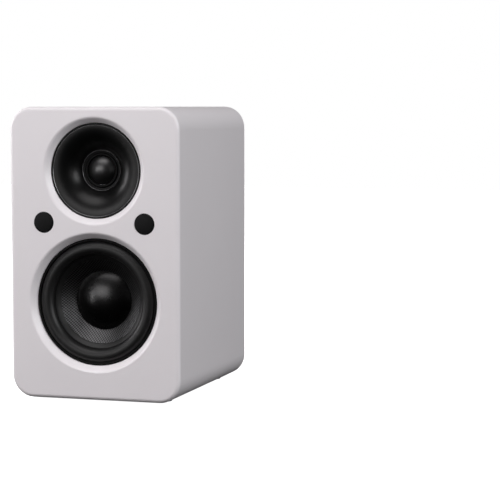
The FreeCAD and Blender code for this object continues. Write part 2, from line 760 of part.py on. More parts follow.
def grille_plugs():
    """Two round plugs beside the drivers, each over a small magnet that holds a grille."""
    edge = sizes.plug_proud - sizes.plug_crown
    flat = sizes.plug_radius - sizes.plug_bevel
    for side, word in zip(SIDES, ("left", "right")):
        corners = [
            (0, -sizes.plug_proud, crown_radius(flat, sizes.plug_crown), 1),
            (0, sizes.plug_length),
            (sizes.plug_stem, sizes.plug_length),
            (sizes.plug_stem, sizes.plug_seat),
            (sizes.plug_radius, sizes.plug_seat),
            (sizes.plug_radius, edge / 2),
            (flat, -edge),
        ]
        across = sizes.plug_across * side
        turned_piece(f"grille_plug_{word}", corners, across, sizes.plug_height)
    magnets = []
    for side in SIDES:
        magnets.append(cylinder("grille_magnet", sizes.plug_stem, sizes.plug_magnet,
                                sizes.plug_across * side, sizes.plug_length, sizes.plug_height))
    group("grille_magnets", magnets)


# ---------------------------------------------------------------- the woofer


def cone_line(radius):
    """Depth of the cone's front at a radius."""
    return sizes.cone_edge_depth + (sizes.cone_radius - radius) * sizes.cone_steepness


def woofer_frame():
    """Cast frame: rim, six windows, a shelf for the spider and a back that takes the motor."""
    name = "woofer_basket"
    rim = sizes.woofer_radius
    back = sizes.woofer_seat - sizes.gasket
    front = frame_front
    waist = sizes.woofer_hole - sizes.seat_gap
    shelf = sizes.spider_radius
    skin = sizes.frame_skin
    corners = [
        (rim, front),
        (rim, back),
        (waist, back),
        (waist, sizes.frame_taper_start),
        (shelf + skin, sizes.spider_depth - skin),
        (shelf + skin, sizes.spider_depth + skin / 2),
        (shelf - skin, sizes.frame_back),
        (sizes.frame_bore, sizes.frame_back),
        (sizes.frame_bore, sizes.frame_back - skin),
        (shelf - sizes.frame_shelf, sizes.frame_back - skin),
        (shelf - sizes.frame_shelf, sizes.spider_depth),
        (shelf, sizes.spider_depth),
        (shelf, sizes.spider_depth - skin),
        (waist - skin, sizes.frame_taper_start - skin / 2),
        (waist - skin, front + skin),
        (rim - sizes.frame_lip, front + sizes.rubber),
        (rim - sizes.frame_lip, front),
    ]
    body = new_body("woofer_casting", 0, 0, sizes.woofer_height)
    turn(body, corners)
    for across, up in ring_places(WOOFER_SCREWS, sizes.woofer_screw_ring, 30.0):
        straight_bore(body, sizes.screw_radius, back - woofer_screw_bite, back, across, up)
    start = sizes.frame_taper_start + skin / 2
    length = sizes.spider_depth - skin - skin / 2 - start
    tools = []
    for index in range(FRAME_WINDOWS):
        angle = 360.0 * index / FRAME_WINDOWS
        tools.append(frame_window(angle, start, length))
    frame = cut("woofer_frame", body, join("frame_windows", tools))
    return keep(frame, name)


def frame_window(angle, start, length):
    """Cutter for one window, standing out from the axis at an angle from straight up."""
    width = sizes.window_width
    reach = sizes.woofer_radius
    body = new_body("frame_window", 0, 0, sizes.woofer_height)
    middle = (sizes.window_start + reach) / 2
    tall = reach - sizes.window_start
    sketch = new_sketch(body, "XZ_Plane", 0, start, 0)
    sketch.AttachmentOffset.Rotation = FreeCAD.Rotation(FreeCAD.Vector(0, 0, 1), angle)
    corners = [
        (width / 2, middle - tall / 2),
        (width / 2, middle + tall / 2),
        (-width / 2, middle + tall / 2),
        (-width / 2, middle - tall / 2),
    ]
    draw_outline(sketch, corners)
    feature = body.newObject("PartDesign::Pad", "frame_window_pad")
    feature.Profile = sketch
    feature.Reversed = True
    bind(feature, "Length", length)
    doc.recompute()
    return body


def woofer_front():
    """Front ring, gasket and fixing screws of the woofer."""
    outer = sizes.woofer_radius
    inner = outer - sizes.trim_width
    corners = [
        (outer, sizes.woofer_sink + sizes.trim_ring),
        (inner, sizes.woofer_sink + sizes.trim_ring),
        (inner, sizes.woofer_sink + sizes.trim_ring / 2),
        (inner + sizes.trim_width / 4, sizes.woofer_sink),
        (outer - sizes.trim_width / 4, sizes.woofer_sink),
        (outer, sizes.woofer_sink + sizes.trim_ring / 2),
    ]
    turned_piece("woofer_trim_ring", corners, 0, sizes.woofer_height)
    driver_gasket("woofer_gasket", sizes.woofer_hole, outer, sizes.woofer_seat,
                  sizes.woofer_screw_ring, WOOFER_SCREWS, sizes.woofer_height)
    bite = woofer_screw_bite + sizes.gasket
    screws = []
    for across, up in ring_places(WOOFER_SCREWS, sizes.woofer_screw_ring, 30.0):
        screws.append(driver_screw("woofer_screw", sizes.woofer_seat - bite,
                                   across, sizes.woofer_height + up))
    group("woofer_screws", screws)


def driver_gasket(name, inner, outer, seat, ring, count, height):
    """Foam ring under a driver, with a hole for each screw."""
    body = new_body(name, 0, 0, height)
    start = seat - sizes.gasket
    turn(body, [(inner, start), (outer, start), (outer, seat), (inner, seat)])
    for across, up in ring_places(count, ring, 90.0 / count * 2):
        straight_bore(body, sizes.screw_radius, start, seat, across, up)
    return keep(body, name)


def driver_screw(name, tip, across, height):
    """Pan-head screw driven from behind the baffle to depth tip."""
    head = sizes.baffle + sizes.screw_head_height
    corners = [
        (0, tip),
        (sizes.screw_radius, tip),
        (sizes.screw_radius, sizes.baffle),
        (sizes.screw_head, sizes.baffle),
        (sizes.screw_head, head - sizes.screw_head_height / 3),
        (sizes.screw_crown, head),
        (0, head),
    ]
    body = new_body(name, across, 0, height)
    turn(body, corners)
    return body


def woofer_surround():
    """Half-roll of rubber from the frame's rim to the cone."""
    outer = sizes.woofer_radius - sizes.trim_width - sizes.glue_gap
    top = frame_front - sizes.rubber
    foot = sizes.cone_radius + sizes.glue_gap
    foot_depth = sizes.cone_edge_depth - sizes.rubber
    landing = sizes.cone_radius - sizes.roll_landing
    landing_back = cone_line(landing) - sizes.glue_gap
    foot_back = sizes.cone_edge_depth - sizes.glue_gap
    span = diagonal(outer - foot, foot_depth - top)
    inner_outer = outer - sizes.rubber
    inner_foot = foot + sizes.rubber
    inner_depth = foot_back
    inner_span = diagonal(inner_outer - inner_foot, inner_depth - frame_front)
    corners = [
        (sizes.woofer_radius - sizes.seat_gap, top),
        (outer, top),
        (foot, foot_depth, span / 2 * sizes.roll_fullness, 1),
        (landing, landing_back - sizes.rubber),
        (landing, landing_back),
        (foot, foot_back),
        (inner_foot, inner_depth),
        (inner_outer, frame_front, inner_span / 2 * sizes.roll_fullness, -1),
        (sizes.woofer_radius - sizes.seat_gap, frame_front),
    ]
    turned_piece("woofer_surround", corners, 0, sizes.woofer_height)


def woofer_moving():
    """Cone, dust cap, coil former and winding."""
    neck = sizes.coil_bore + sizes.former_skin
    neck_depth = cone_line(neck)
    corners = [
        (sizes.cone_radius, sizes.cone_edge_depth),
        (sizes.cone_radius, sizes.cone_edge_depth + sizes.cone_skin),
        (neck, neck_depth + sizes.cone_skin),
        (neck, neck_depth),
    ]
    turned_piece("woofer_cone", corners, 0, sizes.woofer_height)
    base = cone_line(sizes.cap_radius)
    skin = sizes.cap_skin
    inner = sizes.cap_radius - skin
    crest = base - sizes.cap_crown
    inner_crown = sizes.cap_crown - skin
    corners = [
        (0, crest),
        (sizes.cap_radius, base, crown_radius(sizes.cap_radius, sizes.cap_crown), -1),
        (inner, base),
        (0, crest + skin, crown_radius(inner, inner_crown), 1),
    ]
    turned_piece("woofer_dust_cap", corners, 0, sizes.woofer_height)
    ring_piece("woofer_coil_former", sizes.coil_bore, neck, neck_depth,
               coil_back + sizes.former_skin, 0, sizes.woofer_height)
    ring_piece("woofer_voice_coil", neck, neck + sizes.coil_skin, coil_back - sizes.coil_length,
               coil_back, 0, sizes.woofer_height)


def woofer_spider():
    """Corrugated cloth disc that centres the coil."""
    inner = sizes.coil_bore + sizes.former_skin + sizes.glue_gap
    outer = sizes.spider_radius
    skin = sizes.spider_skin
    depth = sizes.spider_depth - skin
    step = (outer - inner) / (SPIDER_WAVES * 2 + 2)
    front = [(outer, depth)]
    back = [(outer, sizes.spider_depth)]
    for index in range(1, SPIDER_WAVES * 2 + 2):
        radius = outer - step * index
        rise = skin if index % 2 else as_size(0)
        front.append((radius, depth - rise))
        back.append((radius, sizes.spider_depth - rise))
    corners = front + [(inner, depth), (inner, sizes.spider_depth)] + back[:0:-1] + back[:1]
    turned_piece("woofer_spider", corners, 0, sizes.woofer_height)


def woofer_motor():
    """Top plate, ring magnet and the back plate with its vented pole."""
    winding = sizes.coil_bore + sizes.former_skin + sizes.coil_skin
    plate_start = sizes.frame_back
    magnet_start = plate_start + sizes.plate_thickness
    yoke_start = magnet_start + sizes.magnet_thickness
    up = sizes.woofer_height
    ring_piece("woofer_top_plate", winding + sizes.magnet_gap, sizes.plate_radius,
               plate_start, magnet_start, 0, up)
    ring_piece("woofer_magnet", sizes.magnet_bore, sizes.magnet_radius,
               magnet_start, yoke_start, 0, up)
    pole = sizes.coil_bore - sizes.pole_gap
    corners = [
        (sizes.vent_radius, plate_start),
        (pole, plate_start),
        (pole, yoke_start),
        (sizes.plate_radius, yoke_start),
        (sizes.plate_radius, yoke_start + sizes.yoke_thickness),
        (sizes.vent_radius, yoke_start + sizes.yoke_thickness),
    ]
    turned_piece("woofer_yoke", corners, 0, up)


def woofer_terminals():
    """Fibre strip on the frame's shelf with two brass tags for the wires."""
    radius = sizes.spider_radius + sizes.frame_skin
    strip_tall = sizes.tag_length
    strip_up = sizes.woofer_height - radius - strip_tall
    start = sizes.spider_depth - sizes.frame_skin
    strip = box("strip_board", sizes.strip_width, sizes.pcb_skin, strip_tall, 0, start, strip_up)
    members = [strip]
    for side in SIDES:
        tag = box("strip_tag", sizes.driver_tag, sizes.tag_length, sizes.tag_skin,
                  sizes.tag_width * side, start + sizes.pcb_skin, strip_up + sizes.tag_skin)
        members.append(tag)
    return group("woofer_terminals", members)


# ---------------------------------------------------------------- the tweeter


def tweeter_waveguide():
    """Moulded horn with a rounded lip, a thick rim for the screws and a boss for the motor."""
    outer = sizes.tweeter_radius
    mouth = outer - sizes.tweeter_lip
    mouth_depth = sizes.tweeter_sink + sizes.lip_crown
    back = sizes.tweeter_seat - sizes.gasket
    rim_inner = outer - sizes.tweeter_rim
    half_lip = sizes.tweeter_lip / 2
    lip_radius = crown_radius(half_lip, sizes.lip_crown)
    skin_front = mouth_depth + sizes.horn_skin
    corners = [
        (outer, back),
        (rim_inner, back),
        (rim_inner, skin_front),
        (sizes.horn_boss, skin_front + sizes.horn_skin, sizes.horn_radius, 1),
        (sizes.horn_boss, sizes.horn_back),
        (sizes.throat_radius, sizes.horn_back),
        (sizes.throat_radius, sizes.throat_depth),
        (mouth, mouth_depth, sizes.horn_radius, -1),
        (outer, mouth_depth, lip_radius, -1),
    ]
    body = new_body("tweeter_waveguide", 0, 0, sizes.tweeter_height)
    turn(body, corners)
    for across, up in ring_places(TWEETER_SCREWS, sizes.tweeter_screw_ring, 45.0):
        straight_bore(body, sizes.screw_radius, back - sizes.tweeter_bite, back, across, up)
    return keep(body, "tweeter_waveguide")


def tweeter_front():
    """Gasket and fixing screws of the tweeter."""
    driver_gasket("tweeter_gasket", sizes.tweeter_hole, sizes.tweeter_radius, sizes.tweeter_seat,
                  sizes.tweeter_screw_ring, TWEETER_SCREWS, sizes.tweeter_height)
    bite = sizes.tweeter_bite + sizes.gasket
    screws = []
    for across, up in ring_places(TWEETER_SCREWS, sizes.tweeter_screw_ring, 45.0):
        screws.append(driver_screw("tweeter_screw", sizes.tweeter_seat - bite,
                                   across, sizes.tweeter_height + up))
    group("tweeter_screws", screws)


def tweeter_diaphragm():
    """Dome, winding, surround and the two rings that clamp the surround."""
    up = sizes.tweeter_height
    base = sizes.dome_depth
    crest = base - sizes.dome_crown
    inner = sizes.dome_radius - sizes.dome_skin
    inner_crown = sizes.dome_crown - sizes.dome_skin
    corners = [
        (0, crest),
        (sizes.dome_radius, base, crown_radius(sizes.dome_radius, sizes.dome_crown), -1),
        (inner, base),
        (0, crest + sizes.dome_skin, crown_radius(inner, inner_crown), 1),
    ]
    turned_piece("tweeter_dome", corners, 0, up)
    ring_piece("tweeter_voice_coil", inner - sizes.small_skin, inner, base,
               sizes.horn_back + sizes.small_plate + sizes.small_skin, 0, up)
    clamp = sizes.throat_radius - sizes.ring_width
    ring_piece("tweeter_clamp_ring", clamp, sizes.throat_radius,
               base - sizes.ring_height, base, 0, up)
    seat = base + sizes.dome_skin
    ring_piece("tweeter_spacer_ring", clamp, sizes.throat_radius, seat, sizes.horn_back, 0, up)
    foot = sizes.dome_radius + sizes.glue_gap
    span = clamp - sizes.glue_gap - foot
    inner_span = span - sizes.dome_skin * 2
    corners = [
        (sizes.throat_radius, base),
        (clamp - sizes.glue_gap, base),
        (foot, base, span / 2 * sizes.roll_fullness, 1),
        (foot, seat),
        (foot + sizes.dome_skin, seat),
        (foot + sizes.dome_skin + inner_span, seat, inner_span / 2 * sizes.roll_fullness, -1),
        (sizes.throat_radius, seat),
    ]
    turned_piece("tweeter_surround", corners, 0, up)


def tweeter_motor():
    """Top plate, magnet, back plate with pole, and the wire tags."""
    up = sizes.tweeter_height
    winding = sizes.dome_radius - sizes.dome_skin
    plate_end = sizes.horn_back + sizes.small_plate
    magnet_end = plate_end + sizes.small_magnet
    ring_piece("tweeter_top_plate", winding + sizes.small_gap, sizes.small_plate_radius,
               sizes.horn_back, plate_end, 0, up)
    ring_piece("tweeter_magnet", sizes.small_magnet_bore, sizes.small_plate_radius - sizes.small_step,
               plate_end, magnet_end, 0, up)
    pole = winding - sizes.small_skin - sizes.small_gap
    corners = [
        (0, sizes.horn_back),
        (pole, sizes.horn_back),
        (pole, magnet_end),
        (sizes.small_plate_radius - sizes.small_step, magnet_end),
        (sizes.small_plate_radius - sizes.small_step, magnet_end + sizes.small_yoke),
        (0, magnet_end + sizes.small_yoke),
    ]
    turned_piece("tweeter_yoke", corners, 0, up)
    strip_tall = sizes.tweeter_hole - sizes.small_plate_radius - sizes.small_step
    strip_up = up - sizes.small_plate_radius - strip_tall
    strip = box("tweeter_strip", sizes.small_strip, sizes.pcb_skin, strip_tall,
                0, sizes.horn_back + sizes.seat_gap, strip_up)
    tags = []
    for side in SIDES:
        tags.append(box("tweeter_tag", sizes.driver_tag, sizes.tag_length, sizes.tag_skin,
                        sizes.small_tag_across * side,
                        sizes.horn_back + sizes.seat_gap + sizes.pcb_skin,
                        strip_up + sizes.tag_skin))
    group("tweeter_terminals", [strip] + tags)


# ---------------------------------------------------------------- the back


def port_tube():
    """Flared bass port, its flange flush with the back."""
    outer = sizes.port_bore + sizes.port_skin
    end = sizes.cabinet_depth
    start = end - sizes.port_length
    mouth = sizes.port_bore + sizes.port_spread
    soft = sizes.port_skin / 2
    corners = [
        (sizes.port_bore, start + soft),
        (sizes.port_bore + soft, start),
        (outer, start + soft),
        (outer, end - sizes.port_flange_height),
        (sizes.port_flange, end - sizes.port_flange_height),
        (sizes.port_flange, end),
        (mouth, end),
        (sizes.port_bore, end - sizes.port_flare, sizes.port_flare, -1),
    ]
    turned_piece("port_tube", corners, 0, sizes.port_height)


def cup_screw_places():
    """Corner screws of the terminal cup."""
    inset = sizes.cup_border / 2
    for side in SIDES:
        for rise in SIDES:
            yield (sizes.cup_width / 2 - inset) * side, (sizes.cup_tall / 2 - inset) * rise


def terminal_cup():
    """Moulded cup sunk in the back board, with a flat floor for the two posts."""
    end = sizes.cabinet_depth
    body = new_body("terminal_cup", 0, 0, sizes.cup_height)
    flange = rounded_corners(sizes.cup_width, sizes.cup_tall, sizes.cup_corner)
    pad(body, flange, end - sizes.cup_skin, sizes.cup_skin)
    inner_corner = sizes.cup_corner - sizes.cup_skin
    wall = rounded_corners(cup_inner_width + sizes.cup_skin * 2,
                           cup_inner_tall + sizes.cup_skin * 2, sizes.cup_corner)
    pad(body, wall, cup_floor - sizes.cup_skin, sizes.cup_deep + sizes.cup_skin - sizes.cup_skin / 2)
    hollow = rounded_corners(cup_inner_width, cup_inner_tall, inner_corner)
    pocket(body, hollow, cup_floor, sizes.cup_deep)
    for side in SIDES:
        straight_bore(body, sizes.post_radius, cup_floor - sizes.cup_skin, cup_floor,
                      sizes.post_across * side, 0)
    for across, up in cup_screw_places():
        corners = [
            (0, end - sizes.cup_skin),
            (sizes.screw_radius, end - sizes.cup_skin),
            (sizes.screw_radius, end - sizes.screw_head_height),
            (sizes.screw_head, end),
            (0, end),
        ]
        bore(body, corners, across, up)
    return keep(body, "terminal_cup")


def terminal_gasket():
    """Foam frame under the cup's flange."""
    body = new_body("terminal_gasket", 0, 0, sizes.cup_height)
    start = sizes.cabinet_depth - sizes.cup_skin - sizes.cup_gasket
    outside = rounded_corners(sizes.cup_width, sizes.cup_tall, sizes.cup_corner)
    pad(body, outside, start, sizes.cup_gasket)
    inside = rounded_corners(
        cup_inner_width + (sizes.cup_skin + sizes.board_gap) * 2,
        cup_inner_tall + (sizes.cup_skin + sizes.board_gap) * 2,
        sizes.cup_corner,
    )
    pocket(body, inside, start, sizes.cup_gasket)
    for across, up in cup_screw_places():
        straight_bore(body, sizes.screw_radius, start, start + sizes.cup_gasket, across, up)
    return keep(body, "terminal_gasket")


def terminal_screws():
    """Four countersunk screws of the cup."""
    screws = []
    bite = sizes.cup_skin + sizes.cup_gasket + cup_screw_bite
    for across, up in cup_screw_places():
        screws.append(countersunk_screw("cup_screw", sizes.cabinet_depth, bite,
                                        across, sizes.cup_height + up))
    return group("terminal_screws", screws)


def binding_post(side, word):
    """Stud with a plug socket, a captive washer and a fluted screw knob."""
    across = sizes.post_across * side
    up = sizes.cup_height
    floor = cup_floor
    collar = floor + sizes.post_collar_height
    tip = floor + sizes.post_length
    nut_end = floor - sizes.cup_skin - sizes.nut_height
    soft = sizes.post_bore / 4
    corners = [
        (0, nut_end - sizes.tag_skin),
        (sizes.post_radius, nut_end - sizes.tag_skin),
        (sizes.post_radius, floor),
        (sizes.post_collar, floor),
        (sizes.post_collar, collar),
        (sizes.post_radius, collar),
        (sizes.post_radius, tip - soft),
        (sizes.post_radius - soft, tip),
        (sizes.post_bore, tip),
        (sizes.post_bore, tip - sizes.post_bore_deep),
        (0, tip - sizes.post_bore_deep),
    ]
    turned_piece(f"post_{word}", corners, across, up)
    washer_start = collar + sizes.slide_gap
    washer_end = washer_start + sizes.washer_height
    ring_piece(f"washer_{word}", sizes.post_radius + sizes.slide_gap, sizes.post_collar,
               washer_start, washer_end, across, up)
    knob(word, washer_end + sizes.slide_gap, across, up)


def knob(word, start, across, up):
    """Fluted knob that screws along its stud."""
    end = start + sizes.knob_length
    radius = sizes.knob_radius
    soft = sizes.knob_flute
    hole = sizes.post_radius + sizes.slide_gap
    corners = [
        (hole, start),
        (radius - soft, start),
        (radius, start + soft),
        (radius, end - soft),
        (radius - soft, end),
        (hole, end),
    ]
    body = new_body(f"knob_{word}", across, 0, up)
    turn(body, corners)
    for flute_across, flute_up in ring_places(KNOB_FLUTES, radius + sizes.knob_flute / 2, 0.0):
        straight_bore(body, sizes.knob_flute, start + soft, end - soft * 2, flute_across, flute_up)
    keep(body, f"knob_{word}")


def post_nuts():
    """Hexagon nuts and push-on tags behind the cup's floor."""
    start = cup_floor - sizes.cup_skin - sizes.nut_height
    nuts = []
    tags = []
    for side in SIDES:
        across = sizes.post_across * side
        prism = doc.addObject("Part::Prism", "nut_blank")
        prism.Polygon = 6
        bind(prism, "Circumradius", sizes.nut_radius)
        bind(prism, "Height", sizes.nut_height)
        prism.Placement.Rotation = FreeCAD.Rotation(FreeCAD.Vector(1, 0, 0), -90)
        put(prism, across, start, sizes.cup_height)
        hole = cylinder("nut_hole", sizes.post_radius, sizes.nut_height,
                        across, start, sizes.cup_height)
        nuts.append(cut("post_nut", prism, hole))
        tag_start = start - sizes.tag_skin - sizes.tag_length
        tags.append(box("post_tag", sizes.tag_width, sizes.tag_length, sizes.tag_skin,
                        across, tag_start, sizes.cup_height - sizes.tag_skin / 2))
    group("post_nuts", nuts)
    group("post_tags", tags)


# ---------------------------------------------------------------- the crossover and the wires


def standoff_places():
    """Corners of the crossover board, as (across, depth)."""
    for side in SIDES:
        across = (sizes.pcb_width / 2 - sizes.standoff_inset) * side
        yield across, sizes.pcb_start + sizes.standoff_inset
        yield across, sizes.pcb_start + sizes.pcb_depth - sizes.standoff_inset


def crossover():
    """Circuit board on four stand-offs, with two coils, three capacitors and a resistor."""
    floor = sizes.wall
    board_up = floor + sizes.standoff_height
    plate = box("pcb_plate", sizes.pcb_width, sizes.pcb_depth, sizes.pcb_skin,
                0, sizes.pcb_start, board_up)
    holes = []
    spacers = []
    screws = []
    for across, depth in standoff_places():
        holes.append(cylinder("pcb_hole", sizes.screw_radius, sizes.pcb_skin,
                              across, depth, board_up, upright=True))
        blank = cylinder("spacer_blank", sizes.standoff_radius, sizes.standoff_height,
                         across, depth, floor, upright=True)
        hollow = cylinder("spacer_hole", sizes.screw_radius, sizes.standoff_height,
                          across, depth, floor, upright=True)
        spacers.append(cut("spacer", blank, hollow))
        shank = cylinder("pcb_screw_shank", sizes.screw_radius,
                         board_screw_bite + sizes.standoff_height + sizes.pcb_skin,
                         across, depth, floor - board_screw_bite, upright=True)
        head = cylinder("pcb_screw_head", sizes.screw_head, sizes.screw_head_height,
                        across, depth, board_up + sizes.pcb_skin, upright=True)
        screws.append(join("pcb_screw", [shank, head]))
    keep(cut("crossover_board", plate, join("pcb_holes", holes)), "crossover_board")
    group("board_standoffs", spacers)
    group("board_screws", screws)
    top = board_up + sizes.pcb_skin
    coil("inductor_woofer", sizes.coil_radius, sizes.coil_core, sizes.coil_height,
         -sizes.coil_across, sizes.pcb_start + sizes.coil_depth, top)
    coil("inductor_tweeter", sizes.small_coil_radius, sizes.small_coil_core,
         sizes.small_coil_height, sizes.small_coil_across,
         sizes.pcb_start + sizes.small_coil_depth, top)
    cans = []
    for across, depth, radius, length in (
        (sizes.can_across, sizes.can_depth, sizes.can_radius, sizes.can_length),
        (-sizes.big_can_across, sizes.big_can_depth, sizes.big_can_radius, sizes.big_can_length),
        (sizes.side_can_across, sizes.side_can_depth, sizes.side_can_radius, sizes.can_length),
    ):
        cans.append(cylinder("capacitor", radius, length, across, sizes.pcb_start + depth,
                             top + radius))
    group("capacitors", cans)
    keep(box("resistor", sizes.resistor_width, sizes.resistor_length, sizes.resistor_height,
             sizes.resistor_across, sizes.pcb_start + sizes.resistor_depth, top), "resistor")


def coil(name, outer, inner, tall, across, depth, height):
    """Air-cored coil standing on the board."""
    blank = cylinder(name + "_blank", outer, tall, across, depth, height, upright=True)
    hollow = cylinder(name + "_hole", inner, tall, across, depth, height, upright=True)
    return keep(cut(name, blank, hollow), name)


def wire_path(points):
    """Straight runs joined by tangent arcs, through (across, depth, height) points."""
    places = [FreeCAD.Vector(as_size(across).value,
                             front_face.value + as_size(depth).value,
                             box_bottom.value + as_size(height).value)
              for across, depth, height in points]
    edges = []
    here = places[0]
    for index in range(1, len(places) - 1):
        corner = places[index]
        back = places[index - 1] - corner
        ahead = places[index + 1] - corner
        turn_angle = math.pi - back.getAngle(ahead)
        reach = 0.45 * min(back.Length, ahead.Length)
        radius = reach / math.tan(turn_angle / 2)
        back.normalize()
        ahead.normalize()
        start = corner + back * reach
        end = corner + ahead * reach
        inward = (back + ahead).normalize()
        distance = math.hypot(radius, reach)
        middle = corner + inward * (distance - radius)
        edges.append(Part.makeLine(here, start))
        edges.append(Part.Arc(start, middle, end).toShape())
        here = end
    edges.append(Part.makeLine(here, places[-1]))
    return Part.Wire(edges)


def wire_solid(points, radius):
    path = wire_path(points)
    start = path.Edges[0].Vertexes[0].Point
    direction = path.Edges[0].tangentAt(path.Edges[0].FirstParameter)
    section = Part.Wire(Part.makeCircle(radius.value, start, direction))
    solid = path.makePipeShell([section], True, False)
    expected = math.pi * radius.value ** 2 * path.Length
    if abs(solid.Volume - expected) > 0.02 * expected:
        raise RuntimeError("a wire's volume is not its section times its length")
    return solid


def wires():
    """Two colours of wire: cup to board, board to woofer and board to tweeter."""
    board_top = sizes.wall + sizes.standoff_height + sizes.pcb_skin
    tag_end = (cup_floor - sizes.cup_skin - sizes.nut_height - sizes.tag_skin - sizes.tag_length)
    strip_start = sizes.spider_depth - sizes.frame_skin + sizes.pcb_skin + sizes.tag_length
    strip_up = sizes.woofer_height - sizes.spider_radius - sizes.frame_skin - sizes.tag_length
    strip_up = strip_up + sizes.tag_skin + sizes.tag_skin / 2
    small_start = sizes.horn_back + sizes.seat_gap + sizes.pcb_skin + sizes.tag_length
    small_tall = sizes.tweeter_hole - sizes.small_plate_radius - sizes.small_step
    small_up = sizes.tweeter_height - sizes.small_plate_radius - small_tall
    small_up = small_up + sizes.tag_skin + sizes.tag_skin / 2
    board_front = sizes.pcb_start + 4
    board_rear = sizes.pcb_start + sizes.pcb_depth - 3
    radius = sizes.wire_radius
    for side, word in zip(SIDES, ("black", "red")):
        post = sizes.post_across * side
        feed = [
            (post, tag_end, sizes.cup_height),
            (post, tag_end - 9, sizes.cup_height),
            (post + side * 5, tag_end - 13, sizes.cup_height - 14),
            (post + side * 13, tag_end - 4, sizes.cup_height - 24),
            (post + side * 20, board_rear - 1, board_top + 12),
            (post + side * 21, board_rear, board_top + radius),
        ]
        woofer_lead = [
            (side * 6, board_front, board_top + radius),
            (side * 7, board_front - 6, board_top + 6),
            (side * 10, board_front - 18, board_top + 10),
            (side * 11, strip_start + 16, strip_up - 5),
            (sizes.tag_width * side, strip_start + 8, strip_up),
            (sizes.tag_width * side, strip_start, strip_up),
        ]
        tag = sizes.small_tag_across
        near_wall = sizes.pcb_width / 2 - 4
        middle = sizes.pcb_start + 30
        tweeter_lead = [
            (near_wall * side, middle, board_top + radius),
            ((near_wall + 2) * side, middle, board_top + 12),
            ((near_wall + 4) * side, middle - 1, board_top + 40),
            ((near_wall + 3) * side, middle - 2, board_top + 75),
            (near_wall * side, middle - 2, sizes.brace_height - 14),
            ((near_wall - 1) * side, middle - 4, sizes.brace_height + 12),
            ((near_wall - 8) * side, middle - 22, sizes.brace_height + 22),
            ((near_wall - 24) * side, middle - 46, sizes.brace_height + 22),
            ((tag + 4) * side, small_start + 18, small_up + 1),
            (tag * side, small_start + 8, small_up),
            (tag * side, small_start, small_up),
        ]
        solids = [wire_solid(points, radius) for points in (feed, woofer_lead, tweeter_lead)]
        feature = doc.addObject("Part::Feature", f"{word}_wires")
        feature.Shape = Part.Compound(solids)
        keep(feature, f"{word}_wires")


def tinsel_leads():
    """Two braided leads from the woofer's tags through a window to the back of the cone."""
    strip_front = sizes.spider_depth - sizes.frame_skin
    strip_up = sizes.woofer_height - sizes.spider_radius - sizes.frame_skin - sizes.tag_length / 2
    cone_radius = sizes.coil_bore + sizes.tag_length
    cone_depth = cone_line(cone_radius) + sizes.cone_skin + sizes.lead_radius + sizes.glue_gap * 2
    solids = []
    for side in SIDES:
        points = [
            (side * 5, strip_front - sizes.glue_gap, strip_up),
            (side * 5, strip_front - 3, strip_up + 0.5),
            (side * 5, strip_front - 5.5, strip_up + 3.5),
            (side * 5, strip_front - 4.5, strip_up + 11),
            (side * 5, cone_depth + 2, sizes.woofer_height - cone_radius - 5),
            (side * 5, cone_depth + 1.0, sizes.woofer_height - cone_radius),
        ]
        solids.append(wire_solid(points, sizes.lead_radius))
    feature = doc.addObject("Part::Feature", "tinsel_leads")
    feature.Shape = Part.Compound(solids)
    keep(feature, "tinsel_leads")


def check_and_write():
    """Stop on anything that failed, then write each piece to its own file."""
    doc.recompute()
    for obj in doc.Objects:
        if "Invalid" in obj.State or "Error" in obj.State:
            raise RuntimeError(f"{obj.Name} failed: {obj.State}")
    for obj in pieces:
        if obj.Shape.isNull() or not obj.Shape.isValid() or not obj.Shape.Solids:
            raise RuntimeError(f"{obj.Label} has no valid solid")
    os.makedirs("parts", exist_ok=True)
    for obj in pieces:
        obj.Shape.exportStep(os.path.join("parts", obj.Label + ".step"))
    print(len(pieces), "pieces written")


doc = FreeCAD.newDocument("bookshelf_speaker")
sizes = make_sheet()
pieces = []

# Places that several pieces share.
front_face = -(sizes.cabinet_depth - sizes.plug_proud) / 2
box_bottom = sizes.foot_height
inner_width = sizes.cabinet_width - sizes.wall * 2
inner_height = sizes.cabinet_height - sizes.wall * 2
frame_front = sizes.woofer_sink + sizes.trim_ring + sizes.rubber
coil_back = sizes.frame_back + sizes.plate_thickness / 2 + sizes.coil_length / 2
cup_inner_width = sizes.cup_width - sizes.cup_border * 2 - sizes.cup_skin * 2
cup_inner_tall = sizes.cup_tall - sizes.cup_border * 2 - sizes.cup_skin * 2
cup_floor = sizes.cabinet_depth - sizes.cup_deep
screw_bite = sizes.rear_board
cup_screw_bite = sizes.rear_board / 2
board_screw_bite = sizes.wall / 2
woofer_screw_bite = sizes.frame_skin

cabinet_shell()
front_baffle()
rear_panel()
rear_panel_screws()
window_brace()
lining_pieces()
rubber_feet()
grille_plugs()
woofer_frame()
woofer_front()
woofer_surround()
woofer_moving()
woofer_spider()
woofer_motor()
woofer_terminals()
tinsel_leads()
tweeter_waveguide()
tweeter_front()
tweeter_diaphragm()
tweeter_motor()
port_tube()
terminal_cup()
terminal_gasket()
terminal_screws()
for post_side, post_word in zip(SIDES, ("black", "red")):
    binding_post(post_side, post_word)
post_nuts()
crossover()
wires()
check_and_write()
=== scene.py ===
import math

import bmesh
import bpy
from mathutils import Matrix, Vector, noise


